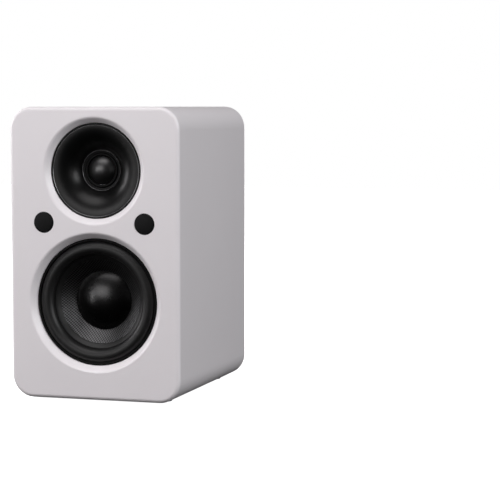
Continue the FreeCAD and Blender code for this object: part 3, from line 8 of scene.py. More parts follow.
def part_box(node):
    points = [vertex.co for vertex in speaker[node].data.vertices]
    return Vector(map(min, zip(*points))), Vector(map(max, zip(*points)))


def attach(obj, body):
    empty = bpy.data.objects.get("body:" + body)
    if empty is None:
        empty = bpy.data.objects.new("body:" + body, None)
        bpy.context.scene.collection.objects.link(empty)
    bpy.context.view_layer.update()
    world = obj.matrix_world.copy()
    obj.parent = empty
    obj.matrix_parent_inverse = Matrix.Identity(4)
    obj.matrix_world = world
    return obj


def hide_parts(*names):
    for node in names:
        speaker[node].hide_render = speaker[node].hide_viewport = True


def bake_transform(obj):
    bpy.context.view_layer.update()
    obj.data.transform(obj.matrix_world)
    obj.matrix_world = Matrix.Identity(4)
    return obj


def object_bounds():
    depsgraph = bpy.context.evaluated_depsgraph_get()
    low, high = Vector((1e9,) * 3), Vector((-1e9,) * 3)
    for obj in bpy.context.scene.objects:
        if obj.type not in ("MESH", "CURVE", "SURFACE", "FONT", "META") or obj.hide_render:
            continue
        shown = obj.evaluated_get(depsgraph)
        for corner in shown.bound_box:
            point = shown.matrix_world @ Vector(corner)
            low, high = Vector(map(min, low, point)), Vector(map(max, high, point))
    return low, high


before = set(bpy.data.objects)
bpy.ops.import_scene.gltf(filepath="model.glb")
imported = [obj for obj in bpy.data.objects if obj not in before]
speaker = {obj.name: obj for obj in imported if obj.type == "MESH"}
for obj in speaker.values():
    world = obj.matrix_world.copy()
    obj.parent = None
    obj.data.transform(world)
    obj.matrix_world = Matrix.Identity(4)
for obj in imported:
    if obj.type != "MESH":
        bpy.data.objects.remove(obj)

cad_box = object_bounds()
mm = 0.001

# ------------------------------------------------------------------------------------------
# The box: a fibreboard sleeve and a front board glued together, filled, sanded flush and
# sprayed with white lacquer as one piece.  The lacquer is polished, with a faint orange peel,
# and stops inside the box, where the board is bare.

BOX_MIDDLE = (cad_box[0] + cad_box[1]) / 2
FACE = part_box("front_baffle")[0].y
LACQUER = (0.80, 0.768, 0.786)
LACQUER_SHADE = (0.775, 0.745, 0.765)
FIBREBOARD = (0.42, 0.29, 0.18)
FIBREBOARD_DARK = (0.30, 0.20, 0.12)
BARE_HALF_WIDTH = 72.9
BARE_HALF_HEIGHT = 122.5
COAT_IN_FRONT = 13.9
COAT_BEHIND = 12.5


def finish(name, colour, roughness, metallic=0.0, **sockets):
    """Start a finish.  Its plain numbers sit on the shader's own sockets."""
    material = bpy.data.materials.new(name)
    material.use_nodes = True
    shader = material.node_tree.nodes["Principled BSDF"]
    shader.inputs["Base Color"].default_value = (*colour, 1.0)
    shader.inputs["Roughness"].default_value = roughness
    shader.inputs["Metallic"].default_value = metallic
    for socket, value in sockets.items():
        shader.inputs[socket.replace("_", " ")].default_value = value
    return material


def node(material, kind, settings=(), **inputs):
    """Add one shader node to a finish, or to the room.  An input is a number, a colour or
    another node's output."""
    made = material.node_tree.nodes.new("ShaderNode" + kind)
    for key, value in settings:
        setattr(made, key, value)
    for key, value in inputs.items():
        label = int(key[1:]) if key[1:].isdigit() else key.replace("_", " ")
        socket = made.inputs[label]
        if isinstance(value, bpy.types.NodeSocket):
            material.node_tree.links.new(value, socket)
        else:
            socket.default_value = value
    return made


def feed(material, socket, output):
    """Lead an output into the finish's shader."""
    shader = material.node_tree.nodes["Principled BSDF"]
    material.node_tree.links.new(output, shader.inputs[socket])


def math_step(material, operation, first, second=0.0):
    """One sum on one or two numbers."""
    return node(material, "Math", [("operation", operation)], _0=first, _1=second).outputs[0]


def place(material):
    """The point on the piece, in metres."""
    return node(material, "TexCoord").outputs["Object"]


def pattern(material, kind, size, **inputs):
    """A pattern that repeats about every so many millimetres."""
    return node(material, kind, Vector=place(material), Scale=1 / (size * mm), **inputs).outputs


def cloudy(material, size, detail=3.0):
    """Soft random patches of about this size in millimetres, from 0 to 1."""
    return pattern(material, "TexNoise", size, Detail=detail, Roughness=0.55)[0]


def between(material, factor, dark, light):
    """A colour between dark and light."""
    made = node(material, "Mix", [("data_type", "RGBA")], _0=factor)
    made.inputs[6].default_value = (*dark, 1.0)
    made.inputs[7].default_value = (*light, 1.0)
    return made.outputs[2]


def blend_of(material, factor, first, second):
    """Mix two colour outputs, or an output and a plain colour."""
    made = node(material, "Mix", [("data_type", "RGBA")], _0=factor, _6=first, _7=second)
    return made.outputs[2]


def spread(material, factor, low, high):
    """Stretch a 0 to 1 pattern to the range low to high."""
    return node(material, "MapRange", Value=factor, _3=low, _4=high).outputs[0]


def relief(material, height, depth):
    """Bump of this depth in millimetres."""
    return node(material, "Bump", Height=height, Distance=depth * mm, Strength=1.0).outputs[0]


def worn(name, dark, light, patch, rough, grain, depth, metallic=0.0, **sockets):
    """A finish with patches of tone and gloss, and a fine grain of this size and depth in mm."""
    material = finish(name, light, rough[0], metallic, **sockets)
    patches = cloudy(material, patch, 4.0)
    feed(material, "Base Color", between(material, patches, dark, light))
    feed(material, "Roughness", spread(material, patches, *rough))
    feed(material, "Normal", relief(material, cloudy(material, grain, 2.0), depth))
    return material


def outside_of_box(material):
    """1 on the lacquered outside and in the flares, 0 on bare board."""
    x, y, z = node(material, "SeparateXYZ", _0=place(material)).outputs[:3]
    across = math_step(material, "ABSOLUTE", x)
    up = math_step(material, "ABSOLUTE", math_step(material, "SUBTRACT", z, BOX_MIDDLE.z))
    beside = math_step(material, "GREATER_THAN", across, BARE_HALF_WIDTH * mm)
    above = math_step(material, "GREATER_THAN", up, BARE_HALF_HEIGHT * mm)
    front = math_step(material, "LESS_THAN", y, FACE + COAT_IN_FRONT * mm)
    behind = math_step(material, "GREATER_THAN", y, cad_box[1].y - COAT_BEHIND * mm)
    round_it = math_step(material, "MAXIMUM", beside, above)
    return math_step(material, "MAXIMUM", round_it, math_step(material, "MAXIMUM", front, behind))


lacquer = finish("white_lacquer", LACQUER, 0.45, Coat_Weight=0.12, Coat_Roughness=0.2, Coat_IOR=1.5)
painted = outside_of_box(lacquer)
drift = cloudy(lacquer, 60.0, 3.0)
fibres = cloudy(lacquer, 1.2, 5.0)
coat_tone = between(lacquer, drift, LACQUER_SHADE, LACQUER)
board_tone = between(lacquer, fibres, FIBREBOARD_DARK, FIBREBOARD)
feed(lacquer, "Base Color", blend_of(lacquer, painted, board_tone, coat_tone))
gloss = spread(lacquer, cloudy(lacquer, 25.0, 4.0), 0.40, 0.50)
board_rough = math_step(lacquer, "SUBTRACT", 0.85, math_step(lacquer, "MULTIPLY", painted, 0.45))
feed(lacquer, "Roughness", math_step(lacquer, "MAXIMUM", board_rough, gloss))
orange_peel = relief(lacquer, cloudy(lacquer, 2.6, 1.0), 0.0025)
feed(lacquer, "Normal", orange_peel)


def wear(names, material):
    """Put a finish on CAD pieces that keep their shape."""
    for name in names:
        data = speaker[name].data
        data.materials.clear()
        data.materials.append(material)


wear(["cabinet_shell", "front_baffle"], lacquer)

# ------------------------------------------------------------------------------------------
# Inside the box: a windowed brace of bare fibreboard glued across the middle, and the back
# board, foiled in satin black and screwed on its ledge with six black wood screws.

bare_board = worn("bare_fibreboard", FIBREBOARD_DARK, FIBREBOARD, patch=1.4, rough=(0.8, 0.92),
                  grain=0.4, depth=0.06)
wear(["window_brace"], bare_board)

black_foil = worn("black_foil", (0.021, 0.021, 0.023), (0.033, 0.033, 0.035), patch=3.0,
                  rough=(0.36, 0.52), grain=0.55, depth=0.05)
wear(["rear_panel"], black_foil)

black_steel = worn("black_steel", (0.02, 0.02, 0.022), (0.05, 0.05, 0.052), patch=1.5,
                   rough=(0.28, 0.5), grain=0.25, depth=0.01, metallic=0.85)
wear(["rear_panel_screws", "terminal_screws", "woofer_screws", "tweeter_screws", "board_screws"],
     black_steel)

# ------------------------------------------------------------------------------------------
# Damping felt: three soft grey pads of loose wool felt, glued on the side walls and under the
# top.  They are cut by hand, so their edges are soft and their thickness wanders.

FELT_LIGHT = (0.36, 0.37, 0.39)
FELT_DARK = (0.22, 0.23, 0.25)
FELT_HAIR = (0.55, 0.55, 0.56, 1.0)
FELT_CUTS = 36
FELT_LUMP = 14
FELT_WANDER = 0.30
FELT_ROUNDING = 0.30
FELT_RAGGED = 0.035
FELT_TAPER = 0.03
felt = finish("grey_felt", FELT_LIGHT, 0.95, Sheen_Weight=0.4, Sheen_Roughness=0.6)
felt_fluff = cloudy(felt, 0.8, 6.0)
felt_shade = between(felt, cloudy(felt, 9.0, 5.0), FELT_DARK, FELT_LIGHT)
felt_hairs = spread(felt, felt_fluff, 0.0, 0.5)
feed(felt, "Base Color", blend_of(felt, felt_hairs, felt_shade, FELT_HAIR))
feed(felt, "Normal", relief(felt, felt_fluff, 0.5))


def ready(obj, material, smooth=40.0):
    """Link a new piece, turn its faces outwards, smooth it and give it its finish."""
    bpy.context.scene.collection.objects.link(obj)
    work = bmesh.new()
    work.from_mesh(obj.data)
    bmesh.ops.recalc_face_normals(work, faces=work.faces)
    work.to_mesh(obj.data)
    work.free()
    obj.data.polygons.foreach_set("use_smooth", [True] * len(obj.data.polygons))
    obj.data.set_sharp_from_angle(angle=math.radians(smooth))
    obj.data.materials.append(material)
    return obj


def felt_pad(cad_name, glued_axis, glued_side):
    """A soft pad in the space of its CAD block, flat on the wall that it is glued to."""
    low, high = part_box(cad_name)
    middle = (low + high) / 2
    half = (high - low) / 2
    work = bmesh.new()
    bmesh.ops.create_cube(work, size=2.0)
    bmesh.ops.subdivide_edges(work, edges=work.edges[:], cuts=FELT_CUTS, use_grid_fill=True)
    flat_axes = [axis for axis in range(3) if axis != glued_axis]
    for vertex in work.verts:
        point = vertex.co.copy()
        rim = max(abs(point[flat_axes[0]]), abs(point[flat_axes[1]])) ** 14
        spot = Vector(point[axis] * half[axis] for axis in range(3)) / (FELT_LUMP * mm)
        lump = noise.noise(spot) * 0.5 + 0.5
        thickness = 1.0 - FELT_WANDER * lump - FELT_ROUNDING * rim
        face_share = (point[glued_axis] * -glued_side + 1) / 2
        point[glued_axis] = glued_side * (1 - 2 * face_share * thickness)
        for axis in flat_axes:
            edge_lump = noise.noise(spot * 0.9 + Vector((7, 3, 5))) * 0.5 + 0.5
            taper = FELT_TAPER * face_share * abs(point[axis]) ** 10
            point[axis] *= 1.0 - FELT_RAGGED * edge_lump - taper
        vertex.co = Vector(middle[axis] + point[axis] * half[axis] for axis in range(3))
    data = bpy.data.meshes.new(cad_name + "_felt")
    work.to_mesh(data)
    work.free()
    pad = ready(bpy.data.objects.new(cad_name + "_felt", data), felt, 180.0)
    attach(pad, "cabinet")
    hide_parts(cad_name)


felt_pad("lining_left", 0, -1)
felt_pad("lining_right", 0, 1)
felt_pad("lining_top", 2, 1)

# ------------------------------------------------------------------------------------------
# Four stick-on feet of soft black rubber, punched from sheet with a fine matte grain, under
# the corners of the box.

soft_rubber = worn("soft_rubber", (0.015, 0.015, 0.016), (0.03, 0.03, 0.031), patch=2.5,
                   rough=(0.6, 0.8), grain=0.3, depth=0.03)
wear(["rubber_feet"], soft_rubber)

# ------------------------------------------------------------------------------------------
# Grille plugs: two round caps moulded in black plastic, crowned, with a bevelled rim and a
# pebbled face, pushed in holes beside the drivers.  A small plated magnet sits behind each.

PLUG_RADIUS = 9.5
PLUG_PROUD = 0.8
PLUG_DEPTH = 10.0
PEG_RADIUS = 5.0
CROWN_RADIUS = 8.3
CROWN_FALL = 0.5
CROWN_SINK = 0.03
CROWN_CUTS = 26
PEBBLE = 0.6
PEBBLE_RISE = 0.035
PEBBLED_RADIUS = 8.2


def soften(corners, cuts=5):
    """Closed loop of (radius, depth) corners; a third number rounds the corner by that much."""
    points = []
    for index, corner in enumerate(corners):
        here = Vector(corner[:2])
        if len(corner) == 2:
            points.append(tuple(here))
            continue
        before = Vector(corners[index - 1][:2]) - here
        after = Vector(corners[(index + 1) % len(corners)][:2]) - here
        reach = min(corner[2], before.length * 0.48, after.length * 0.48)
        start = here + before.normalized() * reach
        end = here + after.normalized() * reach
        for cut in range(cuts + 1):
            share = cut / cuts
            point = start * (1 - share) ** 2 + here * 2 * share * (1 - share) + end * share ** 2
            points.append(tuple(point))
    return points


def bow(start, end, radius, bulge, cuts=24):
    """Points of an arc from start to end, ends included; bulge 1 curves left of the way there."""
    start = Vector(start)
    end = Vector(end)
    chord = end - start
    left = Vector((-chord.y, chord.x)).normalized()
    rise = math.sqrt(max(radius ** 2 - chord.length_squared / 4, 0.0))
    centre = (start + end) / 2 - left * (rise * bulge)
    first = math.atan2(start.y - centre.y, start.x - centre.x)
    sweep = math.atan2(end.y - centre.y, end.x - centre.x) - first
    if bulge > 0 and sweep > 0:
        sweep -= math.tau
    if bulge < 0 and sweep < 0:
        sweep += math.tau
    angles = [first + sweep * cut / cuts for cut in range(cuts + 1)]
    return [(centre.x + radius * math.cos(a), centre.y + radius * math.sin(a)) for a in angles]


def turned(name, loop, across, up, material, steps=240, lift=None, smooth=40.0):
    """Turn a closed loop of (radius, depth) points in mm round an axis that runs front to back.
    lift(radius, angle, index) gives a small move towards the front, in mm."""
    points = []
    rings = []
    for index, (radius, depth) in enumerate(loop):
        ring = []
        for step in range(1 if radius < 0.001 else steps):
            angle = math.tau * step / steps
            forward = lift(radius, angle, index) if lift else 0.0
            ring.append(len(points))
            points.append((across + radius * mm * math.cos(angle), FACE + (depth - forward) * mm,
                           up + radius * mm * math.sin(angle)))
        rings.append(ring)
    faces = []
    for first, second in zip(rings, rings[1:] + rings[:1]):
        if len(first) == 1 and len(second) == 1:
            continue
        for step in range(steps):
            after = (step + 1) % steps
            corners = [first[step % len(first)], first[after % len(first)],
                       second[after % len(second)], second[step % len(second)]]
            faces.append(tuple(dict.fromkeys(corners)))
    data = bpy.data.meshes.new(name)
    data.from_pydata(points, [], faces)
    return ready(bpy.data.objects.new(name, data), material, smooth)


pebbled = finish("pebbled_black_plastic", (0.003, 0.003, 0.003), 0.5, Specular_IOR_Level=0.12)
pebbles = pattern(pebbled, "TexVoronoi", 0.55)[0]
feed(pebbled, "Base Color",
     between(pebbled, pebbles, (0.006, 0.006, 0.0065), (0.0015, 0.0015, 0.0015)))
feed(pebbled, "Roughness", spread(pebbled, cloudy(pebbled, 2.0), 0.42, 0.62))
feed(pebbled, "Normal", relief(pebbled, pebbles, -0.08))


def plug_grain(radius, angle, index):
    """Raised pebbles on the crowned face, which fade at its bevel."""
    if index > CROWN_CUTS:
        return 0.0
    spot = Vector((radius * math.cos(angle), radius * math.sin(angle), 0.0)) / PEBBLE
    return PEBBLE_RISE * noise.noise(spot) * max(0.0, 1 - (radius / PEBBLED_RADIUS) ** 8)


crown = [(CROWN_RADIUS * share / CROWN_CUTS,
          CROWN_SINK - PLUG_PROUD + CROWN_FALL * (share / CROWN_CUTS) ** 2)
         for share in range(CROWN_CUTS + 1)]
skirt = soften([(9.1, -0.05, 0.5), (PLUG_RADIUS, 0.35, 0.3), (PLUG_RADIUS, 1.2),
                (PEG_RADIUS, 1.2), (PEG_RADIUS, PLUG_DEPTH)])
for word in ("left", "right"):
    low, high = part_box("grille_plug_" + word)
    middle = (low + high) / 2
    plug = turned("grille_plug_cap_" + word, crown + skirt + [(0.0, PLUG_DEPTH)], middle.x,
                  middle.z, pebbled, steps=160, lift=plug_grain)
    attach(plug, "cabinet")
    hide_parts("grille_plug_" + word)

plated = worn("nickel_plate", (0.52, 0.51, 0.50), (0.68, 0.67, 0.65), patch=3.0,
              rough=(0.16, 0.32), grain=0.8, depth=0.004, metallic=1.0)
wear(["grille_magnets"], plated)

# ------------------------------------------------------------------------------------------
# The woofer's frame: an aluminium casting painted black, dropped in from the front on a foam
# gasket, with six screws driven through the ledge from behind.

cast_alloy = worn("black_cast_alloy", (0.03, 0.03, 0.032), (0.06, 0.06, 0.063), patch=4.0,
                  rough=(0.42, 0.62), grain=0.5, depth=0.05, metallic=0.3)
wear(["woofer_basket"], cast_alloy)

foam = finish("black_foam", (0.04, 0.04, 0.042), 0.95)
foam_cells = pattern(foam, "TexVoronoi", 0.5)[0]
feed(foam, "Base Color", between(foam, foam_cells, (0.02, 0.02, 0.02), (0.07, 0.07, 0.072)))
feed(foam, "Normal", relief(foam, foam_cells, 0.2))
wear(["woofer_gasket", "tweeter_gasket", "terminal_gasket"], foam)

woofer_low, woofer_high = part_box("woofer_cone")
WOOFER_X = (woofer_low.x + woofer_high.x) / 2
WOOFER_Z = (woofer_low.z + woofer_high.z) / 2

# ------------------------------------------------------------------------------------------
# Front ring: a matte black plastic ring pressed over the rim of the frame, which hides the
# edge of the surround.

matte_ring = worn("matte_black_plastic", (0.001, 0.001, 0.001), (0.003, 0.003, 0.003), patch=6.0,
                  rough=(0.55, 0.7), grain=0.3, depth=0.02, Specular_IOR_Level=0.15)
RING_OUT = 56.6
RING_IN = 54.1
RING_FRONT = 6.3
RING_BACK = 7.6
ring_loop = soften([(RING_OUT, RING_BACK), (RING_IN, RING_BACK), (RING_IN, 6.9, 0.2),
                    (54.75, RING_FRONT, 0.35), (55.9, RING_FRONT, 0.35), (RING_OUT, 6.95, 0.3)])
trim_ring = turned("woofer_front_ring", ring_loop, WOOFER_X, WOOFER_Z, matte_ring, steps=320)
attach(trim_ring, "cabinet")
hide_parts("woofer_trim_ring")

# ------------------------------------------------------------------------------------------
# Surround: a half roll moulded in butyl rubber.  Its outer flange is glued under the front
# ring, its inner flange lies on the cone, with a fine groove where the roll ends.

rubber = worn("butyl_rubber", (0.003, 0.003, 0.003), (0.005, 0.005, 0.005), patch=12.0,
              rough=(0.44, 0.54), grain=0.5, depth=0.006, Specular_IOR_Level=0.38)
ROLL_OUT = (53.95, 7.6)
ROLL_IN = (42.15, 11.0)
ROLL_EASE = 1.012
half_chord = (Vector(ROLL_OUT) - Vector(ROLL_IN)).length / 2
roll = bow(ROLL_OUT, ROLL_IN, half_chord * ROLL_EASE, 1, 40)
roll_under = bow((42.9, 11.5), (53.2, 8.3), half_chord * 0.86 * ROLL_EASE, -1, 32)
flange = [(41.95, 11.35), (41.7, 11.15), (41.2, 11.35), (39.6, 12.62), (38.3, 13.62), (37.9, 14.0)]
surround_loop = ([(56.3, 7.62)] + roll + flange + [(37.8, 14.6), (42.15, 11.52)] + roll_under
                 + [(56.3, 8.3)])
surround = turned("woofer_rubber_surround", surround_loop, WOOFER_X, WOOFER_Z, rubber, steps=320,
                  smooth=60.0)


def follow_by_radius(obj):
    """Bake the ring's placement into its mesh."""
    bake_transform(obj)


follow_by_radius(surround)
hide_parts("woofer_surround")

# ------------------------------------------------------------------------------------------
# Cone: black glass cloth in a plain weave, pressed with resin into a straight cone.  Each yarn
# stands up a little from the next, and the yarns that run across shine more than the others.

YARN = 1.25
CONE_RIM = (42.0, 11.7)
CONE_FALL = 0.756
CONE_SKIN = 0.7
CONE_HOLE = 12.7
WEAVE_OUT = 38.6
WEAVE_SPAN = 14.0
WEAVE_CUTS = 76
YARN_RISE = 0.16
YARN_SINK = 0.14


def yarn_height(across, up):
    """How far the cloth stands up at a place, from 0 in a gap to 1 on a crown."""
    first = across / YARN
    second = up / YARN
    over = (math.floor(first) + math.floor(second)) % 2 == 0
    side, along = (first, second) if over else (second, first)
    side = (side % 1.0) * 2 - 1
    along = (along % 1.0) * 2 - 1
    return (1 - side ** 4) * (1 - 0.55 * along * along)


def cone_depth(radius):
    """Depth of the cone's plain front at a radius."""
    return CONE_RIM[1] + (CONE_RIM[0] - radius) * CONE_FALL


rim_radii = [CONE_RIM[0], 40.0, 38.7]
woven_radii = [WEAVE_OUT - WEAVE_SPAN * step / WEAVE_CUTS for step in range(WEAVE_CUTS + 1)]
cone_radii = rim_radii + woven_radii + [20.0, 15.0, CONE_HOLE]
cone_front = [(radius, cone_depth(radius)) for radius in cone_radii]
cone_back = [(radius, cone_depth(radius) + CONE_SKIN)
             for radius in (CONE_HOLE, 20.0, 30.0, CONE_RIM[0])]


def cone_weave(radius, angle, index):
    """Relief of the cloth on the part of the cone that shows."""
    if not len(rim_radii) <= index < len(rim_radii) + len(woven_radii):
        return 0.0
    across = radius * math.cos(angle)
    up = radius * math.sin(angle)
    return YARN_RISE * yarn_height(across, up) - YARN_SINK


cloth = finish("woven_cone", (0.003, 0.003, 0.003), 0.42, Specular_IOR_Level=0.3, Coat_Weight=0.12,
               Coat_Roughness=0.22)
cloth_x, _, cloth_z = node(cloth, "SeparateXYZ", _0=place(cloth)).outputs[:3]
cloth_z = math_step(cloth, "SUBTRACT", cloth_z, WOOFER_Z)
first_yarn = math_step(cloth, "DIVIDE", cloth_x, YARN * mm)
second_yarn = math_step(cloth, "DIVIDE", cloth_z, YARN * mm)
squares = math_step(cloth, "ADD", math_step(cloth, "FLOOR", first_yarn),
                    math_step(cloth, "FLOOR", second_yarn))
over = math_step(cloth, "LESS_THAN", math_step(cloth, "FLOORED_MODULO", squares, 2.0), 0.5)
strands = []
for yarn in (first_yarn, second_yarn):
    wave = math_step(cloth, "SINE", math_step(cloth, "MULTIPLY", yarn, math.tau * 4))
    strands.append(math_step(cloth, "MULTIPLY_ADD", wave, 0.5))
strand = node(cloth, "Mix", [("data_type", "FLOAT")], _0=over, _2=strands[1],
              _3=strands[0]).outputs[0]
dull_yarn = between(cloth, cloudy(cloth, 7.0), (0.001, 0.001, 0.001), (0.003, 0.003, 0.003))
bright_yarn = between(cloth, cloudy(cloth, 7.0), (0.075, 0.075, 0.077), (0.10, 0.10, 0.103))
feed(cloth, "Base Color", blend_of(cloth, over, dull_yarn, bright_yarn))
feed(cloth, "Metallic", over)
feed(cloth, "Roughness", spread(cloth, cloudy(cloth, 3.0), 0.36, 0.5))
feed(cloth, "Normal", relief(cloth, strand, 0.02))
cone = turned("woofer_woven_cone", cone_front + cone_back, WOOFER_X, WOOFER_Z, cloth, steps=880,
              lift=cone_weave, smooth=60.0)
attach(cone, "woofer_diaphragm")
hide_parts("woofer_cone")

# ------------------------------------------------------------------------------------------
# Dust cap: a smooth shallow dome pressed from thin glossy black film, with its edge glued on
# the cloth of the cone.

gloss_black = worn("gloss_black_film", (0.0005, 0.0005, 0.0005), (0.001, 0.001, 0.001), patch=14.0,
                   rough=(0.24, 0.30), grain=3.0, depth=0.006, Specular_IOR_Level=0.38)
CAP_EDGE = (26.4, 23.55)
CAP_CREST = 15.8
CAP_SKIN = 0.8


def dome_of(edge, crest, skin, cuts=36):
    """Loop of a thin dome: over the front from the axis to the edge, and back underneath."""
    rise = edge[1] - crest
    radius = (edge[0] ** 2 + rise ** 2) / (2 * rise)
    front = bow((0.0, crest), edge, radius, -1, cuts)
    inner_edge = (edge[0] - skin, edge[1])
    inner_rise = rise - skin
    inner_radius = (inner_edge[0] ** 2 + inner_rise ** 2) / (2 * inner_rise)
    back = bow(inner_edge, (0.0, crest + skin), inner_radius, 1, cuts // 2)
    front[0] = (0.0, crest)
    back[-1] = (0.0, crest + skin)
    return front + back


cap_loop = dome_of(CAP_EDGE, CAP_CREST, CAP_SKIN, 40)
cap = turned("woofer_dust_dome", cap_loop, WOOFER_X, WOOFER_Z, gloss_black, steps=200)
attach(cap, "woofer_diaphragm")
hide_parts("woofer_dust_cap")

# ------------------------------------------------------------------------------------------
# Voice coils: enamelled copper wire wound in one even layer.  The woofer's is wound on a thin
# amber former that is glued in the middle of the cone.

amber = worn("amber_former", (0.30, 0.14, 0.03), (0.42, 0.21, 0.06), patch=4.0, rough=(0.3, 0.42),
             grain=0.5, depth=0.004, Coat_Weight=0.3)
wear(["woofer_coil_former"], amber)

COPPER = (0.62, 0.25, 0.10)
COPPER_GAP = (0.30, 0.09, 0.03)


def wound(name, metallic, axis, pitch):
    """Lacquered wire in fine round turns, one pitch in mm apart along axis 0, 1 or 2."""
    material = finish(name, COPPER, 0.3, metallic, Coat_Weight=0.5)
    along = node(material, "SeparateXYZ", _0=place(material)).outputs[axis]
    turn = math_step(material, "MULTIPLY", along, math.tau / (pitch * mm))
    wave = math_step(material, "SINE", turn)
    turns = math_step(material, "MULTIPLY_ADD", wave, 0.5)
    feed(material, "Base Color", between(material, turns, COPPER_GAP, COPPER))
    feed(material, "Normal", relief(material, turns, 0.06))
    return material


wear(["woofer_voice_coil", "tweeter_voice_coil"], wound("enamelled_copper", 0.9, 1, 0.3))

# ------------------------------------------------------------------------------------------
# Spider: a disc of cotton cloth pressed in round waves and stiffened with resin, glued on the
# frame's shelf outside and on the coil former inside.

SPIDER_OUT = 36.0
SPIDER_IN = 12.85
SPIDER_DEPTH = 35.08
SPIDER_SKIN = 0.42
SPIDER_WAVE = 0.21
SPIDER_WAVES = 5.5
SPIDER_LAND = 0.08
SPIDER_CUTS = 110


def spider_wave(radius):
    """Depth of the cloth's front at a radius: five soft waves between two flat lands."""
    share = (SPIDER_OUT - radius) / (SPIDER_OUT - SPIDER_IN)
    calm = min(1.0, share / SPIDER_LAND, (1 - share) / SPIDER_LAND)
    ripple = math.cos(share * math.tau * SPIDER_WAVES)
    return SPIDER_DEPTH - SPIDER_WAVE + SPIDER_WAVE * max(calm, 0.0) * ripple


spider_radii = [SPIDER_OUT + (SPIDER_IN - SPIDER_OUT) * step / SPIDER_CUTS
                for step in range(SPIDER_CUTS + 1)]
spider_front = [(radius, spider_wave(radius)) for radius in spider_radii]
spider_back = [(radius, spider_wave(radius) + SPIDER_SKIN) for radius in reversed(spider_radii)]
dipped = finish("dipped_cotton", (0.40, 0.30, 0.13), 0.8, Sheen_Weight=0.2)
threads = pattern(dipped, "TexVoronoi", 0.45)[0]
feed(dipped, "Base Color", between(dipped, threads, (0.46, 0.34, 0.15), (0.26, 0.18, 0.07)))
feed(dipped, "Normal", relief(dipped, threads, -0.1))
spider = turned("woofer_cloth_spider", spider_front + spider_back, WOOFER_X, WOOFER_Z, dipped,
                steps=180, smooth=60.0)
follow_by_radius(spider)
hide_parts("woofer_spider")

# ------------------------------------------------------------------------------------------
# Motors: a ferrite ring between a zinc-plated top plate and a back plate with a vented pole,
# glued and pressed together behind each driver.

zinc = worn("zinc_plate", (0.40, 0.41, 0.43), (0.60, 0.61, 0.62), patch=5.0, rough=(0.26, 0.45),
            grain=0.6, depth=0.01, metallic=1.0)
wear(["woofer_top_plate", "woofer_yoke", "tweeter_top_plate", "tweeter_yoke"], zinc)

ferrite = worn("ferrite", (0.035, 0.035, 0.038), (0.075, 0.075, 0.08), patch=1.8,
               rough=(0.45, 0.7), grain=0.35, depth=0.05, metallic=0.1)
wear(["woofer_magnet", "tweeter_magnet"], ferrite)

# ------------------------------------------------------------------------------------------
# Terminal strips: hard brown paper board riveted on each driver, with two brass push-on tags
# for the wires.

BRASS = (0.90, 0.67, 0.28)
BRASS_DARK = (0.72, 0.50, 0.17)
STRIP_BOARD = 1.65
brass = worn("gold_brass", BRASS_DARK, BRASS, patch=2.5, rough=(0.14, 0.3), grain=0.5, depth=0.004,
             metallic=1.0)
wear(["post_tags"], brass)


def strip_finish(name, board_back):
    """Brown board up to a depth, brass behind it."""
    strip = finish(name, (0.26, 0.13, 0.05), 0.5)
    depth = node(strip, "SeparateXYZ", _0=place(strip)).outputs[1]
    metal = math_step(strip, "GREATER_THAN", depth, board_back)
    board = between(strip, cloudy(strip, 1.5, 5.0), (0.20, 0.095, 0.035), (0.32, 0.17, 0.07))
    tag = between(strip, cloudy(strip, 2.5), BRASS_DARK, BRASS)
    feed(strip, "Base Color", blend_of(strip, metal, board, tag))
    feed(strip, "Metallic", metal)
    feed(strip, "Roughness", spread(strip, metal, 0.6, 0.25))
    return strip


for driver in ("woofer", "tweeter"):
    board_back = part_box(driver + "_terminals")[0].y + STRIP_BOARD * mm
    wear([driver + "_terminals"], strip_finish(driver + "_tag_strip", board_back))

# ------------------------------------------------------------------------------------------
# Braided leads: two soft copper braids from the woofer's tags to the back of the cone.

BRAID_PITCH = 2.6
braid = finish("copper_braid", (0.70, 0.38, 0.22), 0.42, 0.9)
braid_bands = node(braid, "TexWave", [("bands_direction", "DIAGONAL")], Vector=place(braid),
                   Scale=1 / (BRAID_PITCH * mm), Distortion=1.0).outputs[1]
feed(braid, "Base Color", between(braid, braid_bands, (0.38, 0.17, 0.09), (0.78, 0.48, 0.30)))
feed(braid, "Normal", relief(braid, braid_bands, 0.06))
LEAD_ROUTE = ((32.35, -44.5), (29.5, -44.0), (27.0, -41.0), (27.6, -34.5), (28.9, -28.5),
              (27.3, -23.5))
LEAD_RADIUS = 0.5
LEAD_SPACING = 10
for word, side in (("left", -1), ("right", 1)):
    line = bpy.data.curves.new("braid_line", "CURVE")
    line.dimensions = "3D"
    spline = line.splines.new("NURBS")
    spline.points.add(len(LEAD_ROUTE) - 1)
    for point, (depth, up) in zip(spline.points, LEAD_ROUTE):
        point.co = (WOOFER_X + side * LEAD_SPACING / 2 * mm, FACE + depth * mm, WOOFER_Z + up * mm,
                    1.0)
    spline.order_u = 3
    spline.use_endpoint_u = True
    spline.resolution_u = 12
    line.bevel_depth = LEAD_RADIUS * mm
    line.bevel_resolution = 5
    line.use_fill_caps = True
    carrier = bpy.data.objects.new("braid_carrier", line)
    data = bpy.data.meshes.new_from_object(carrier)
    data.materials.clear()
    lead = ready(bpy.data.objects.new("braided_lead_" + word, data), braid, 60.0)
    bpy.data.objects.remove(carrier)
    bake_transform(lead)
    if side < 0:
        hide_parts("tinsel_leads")
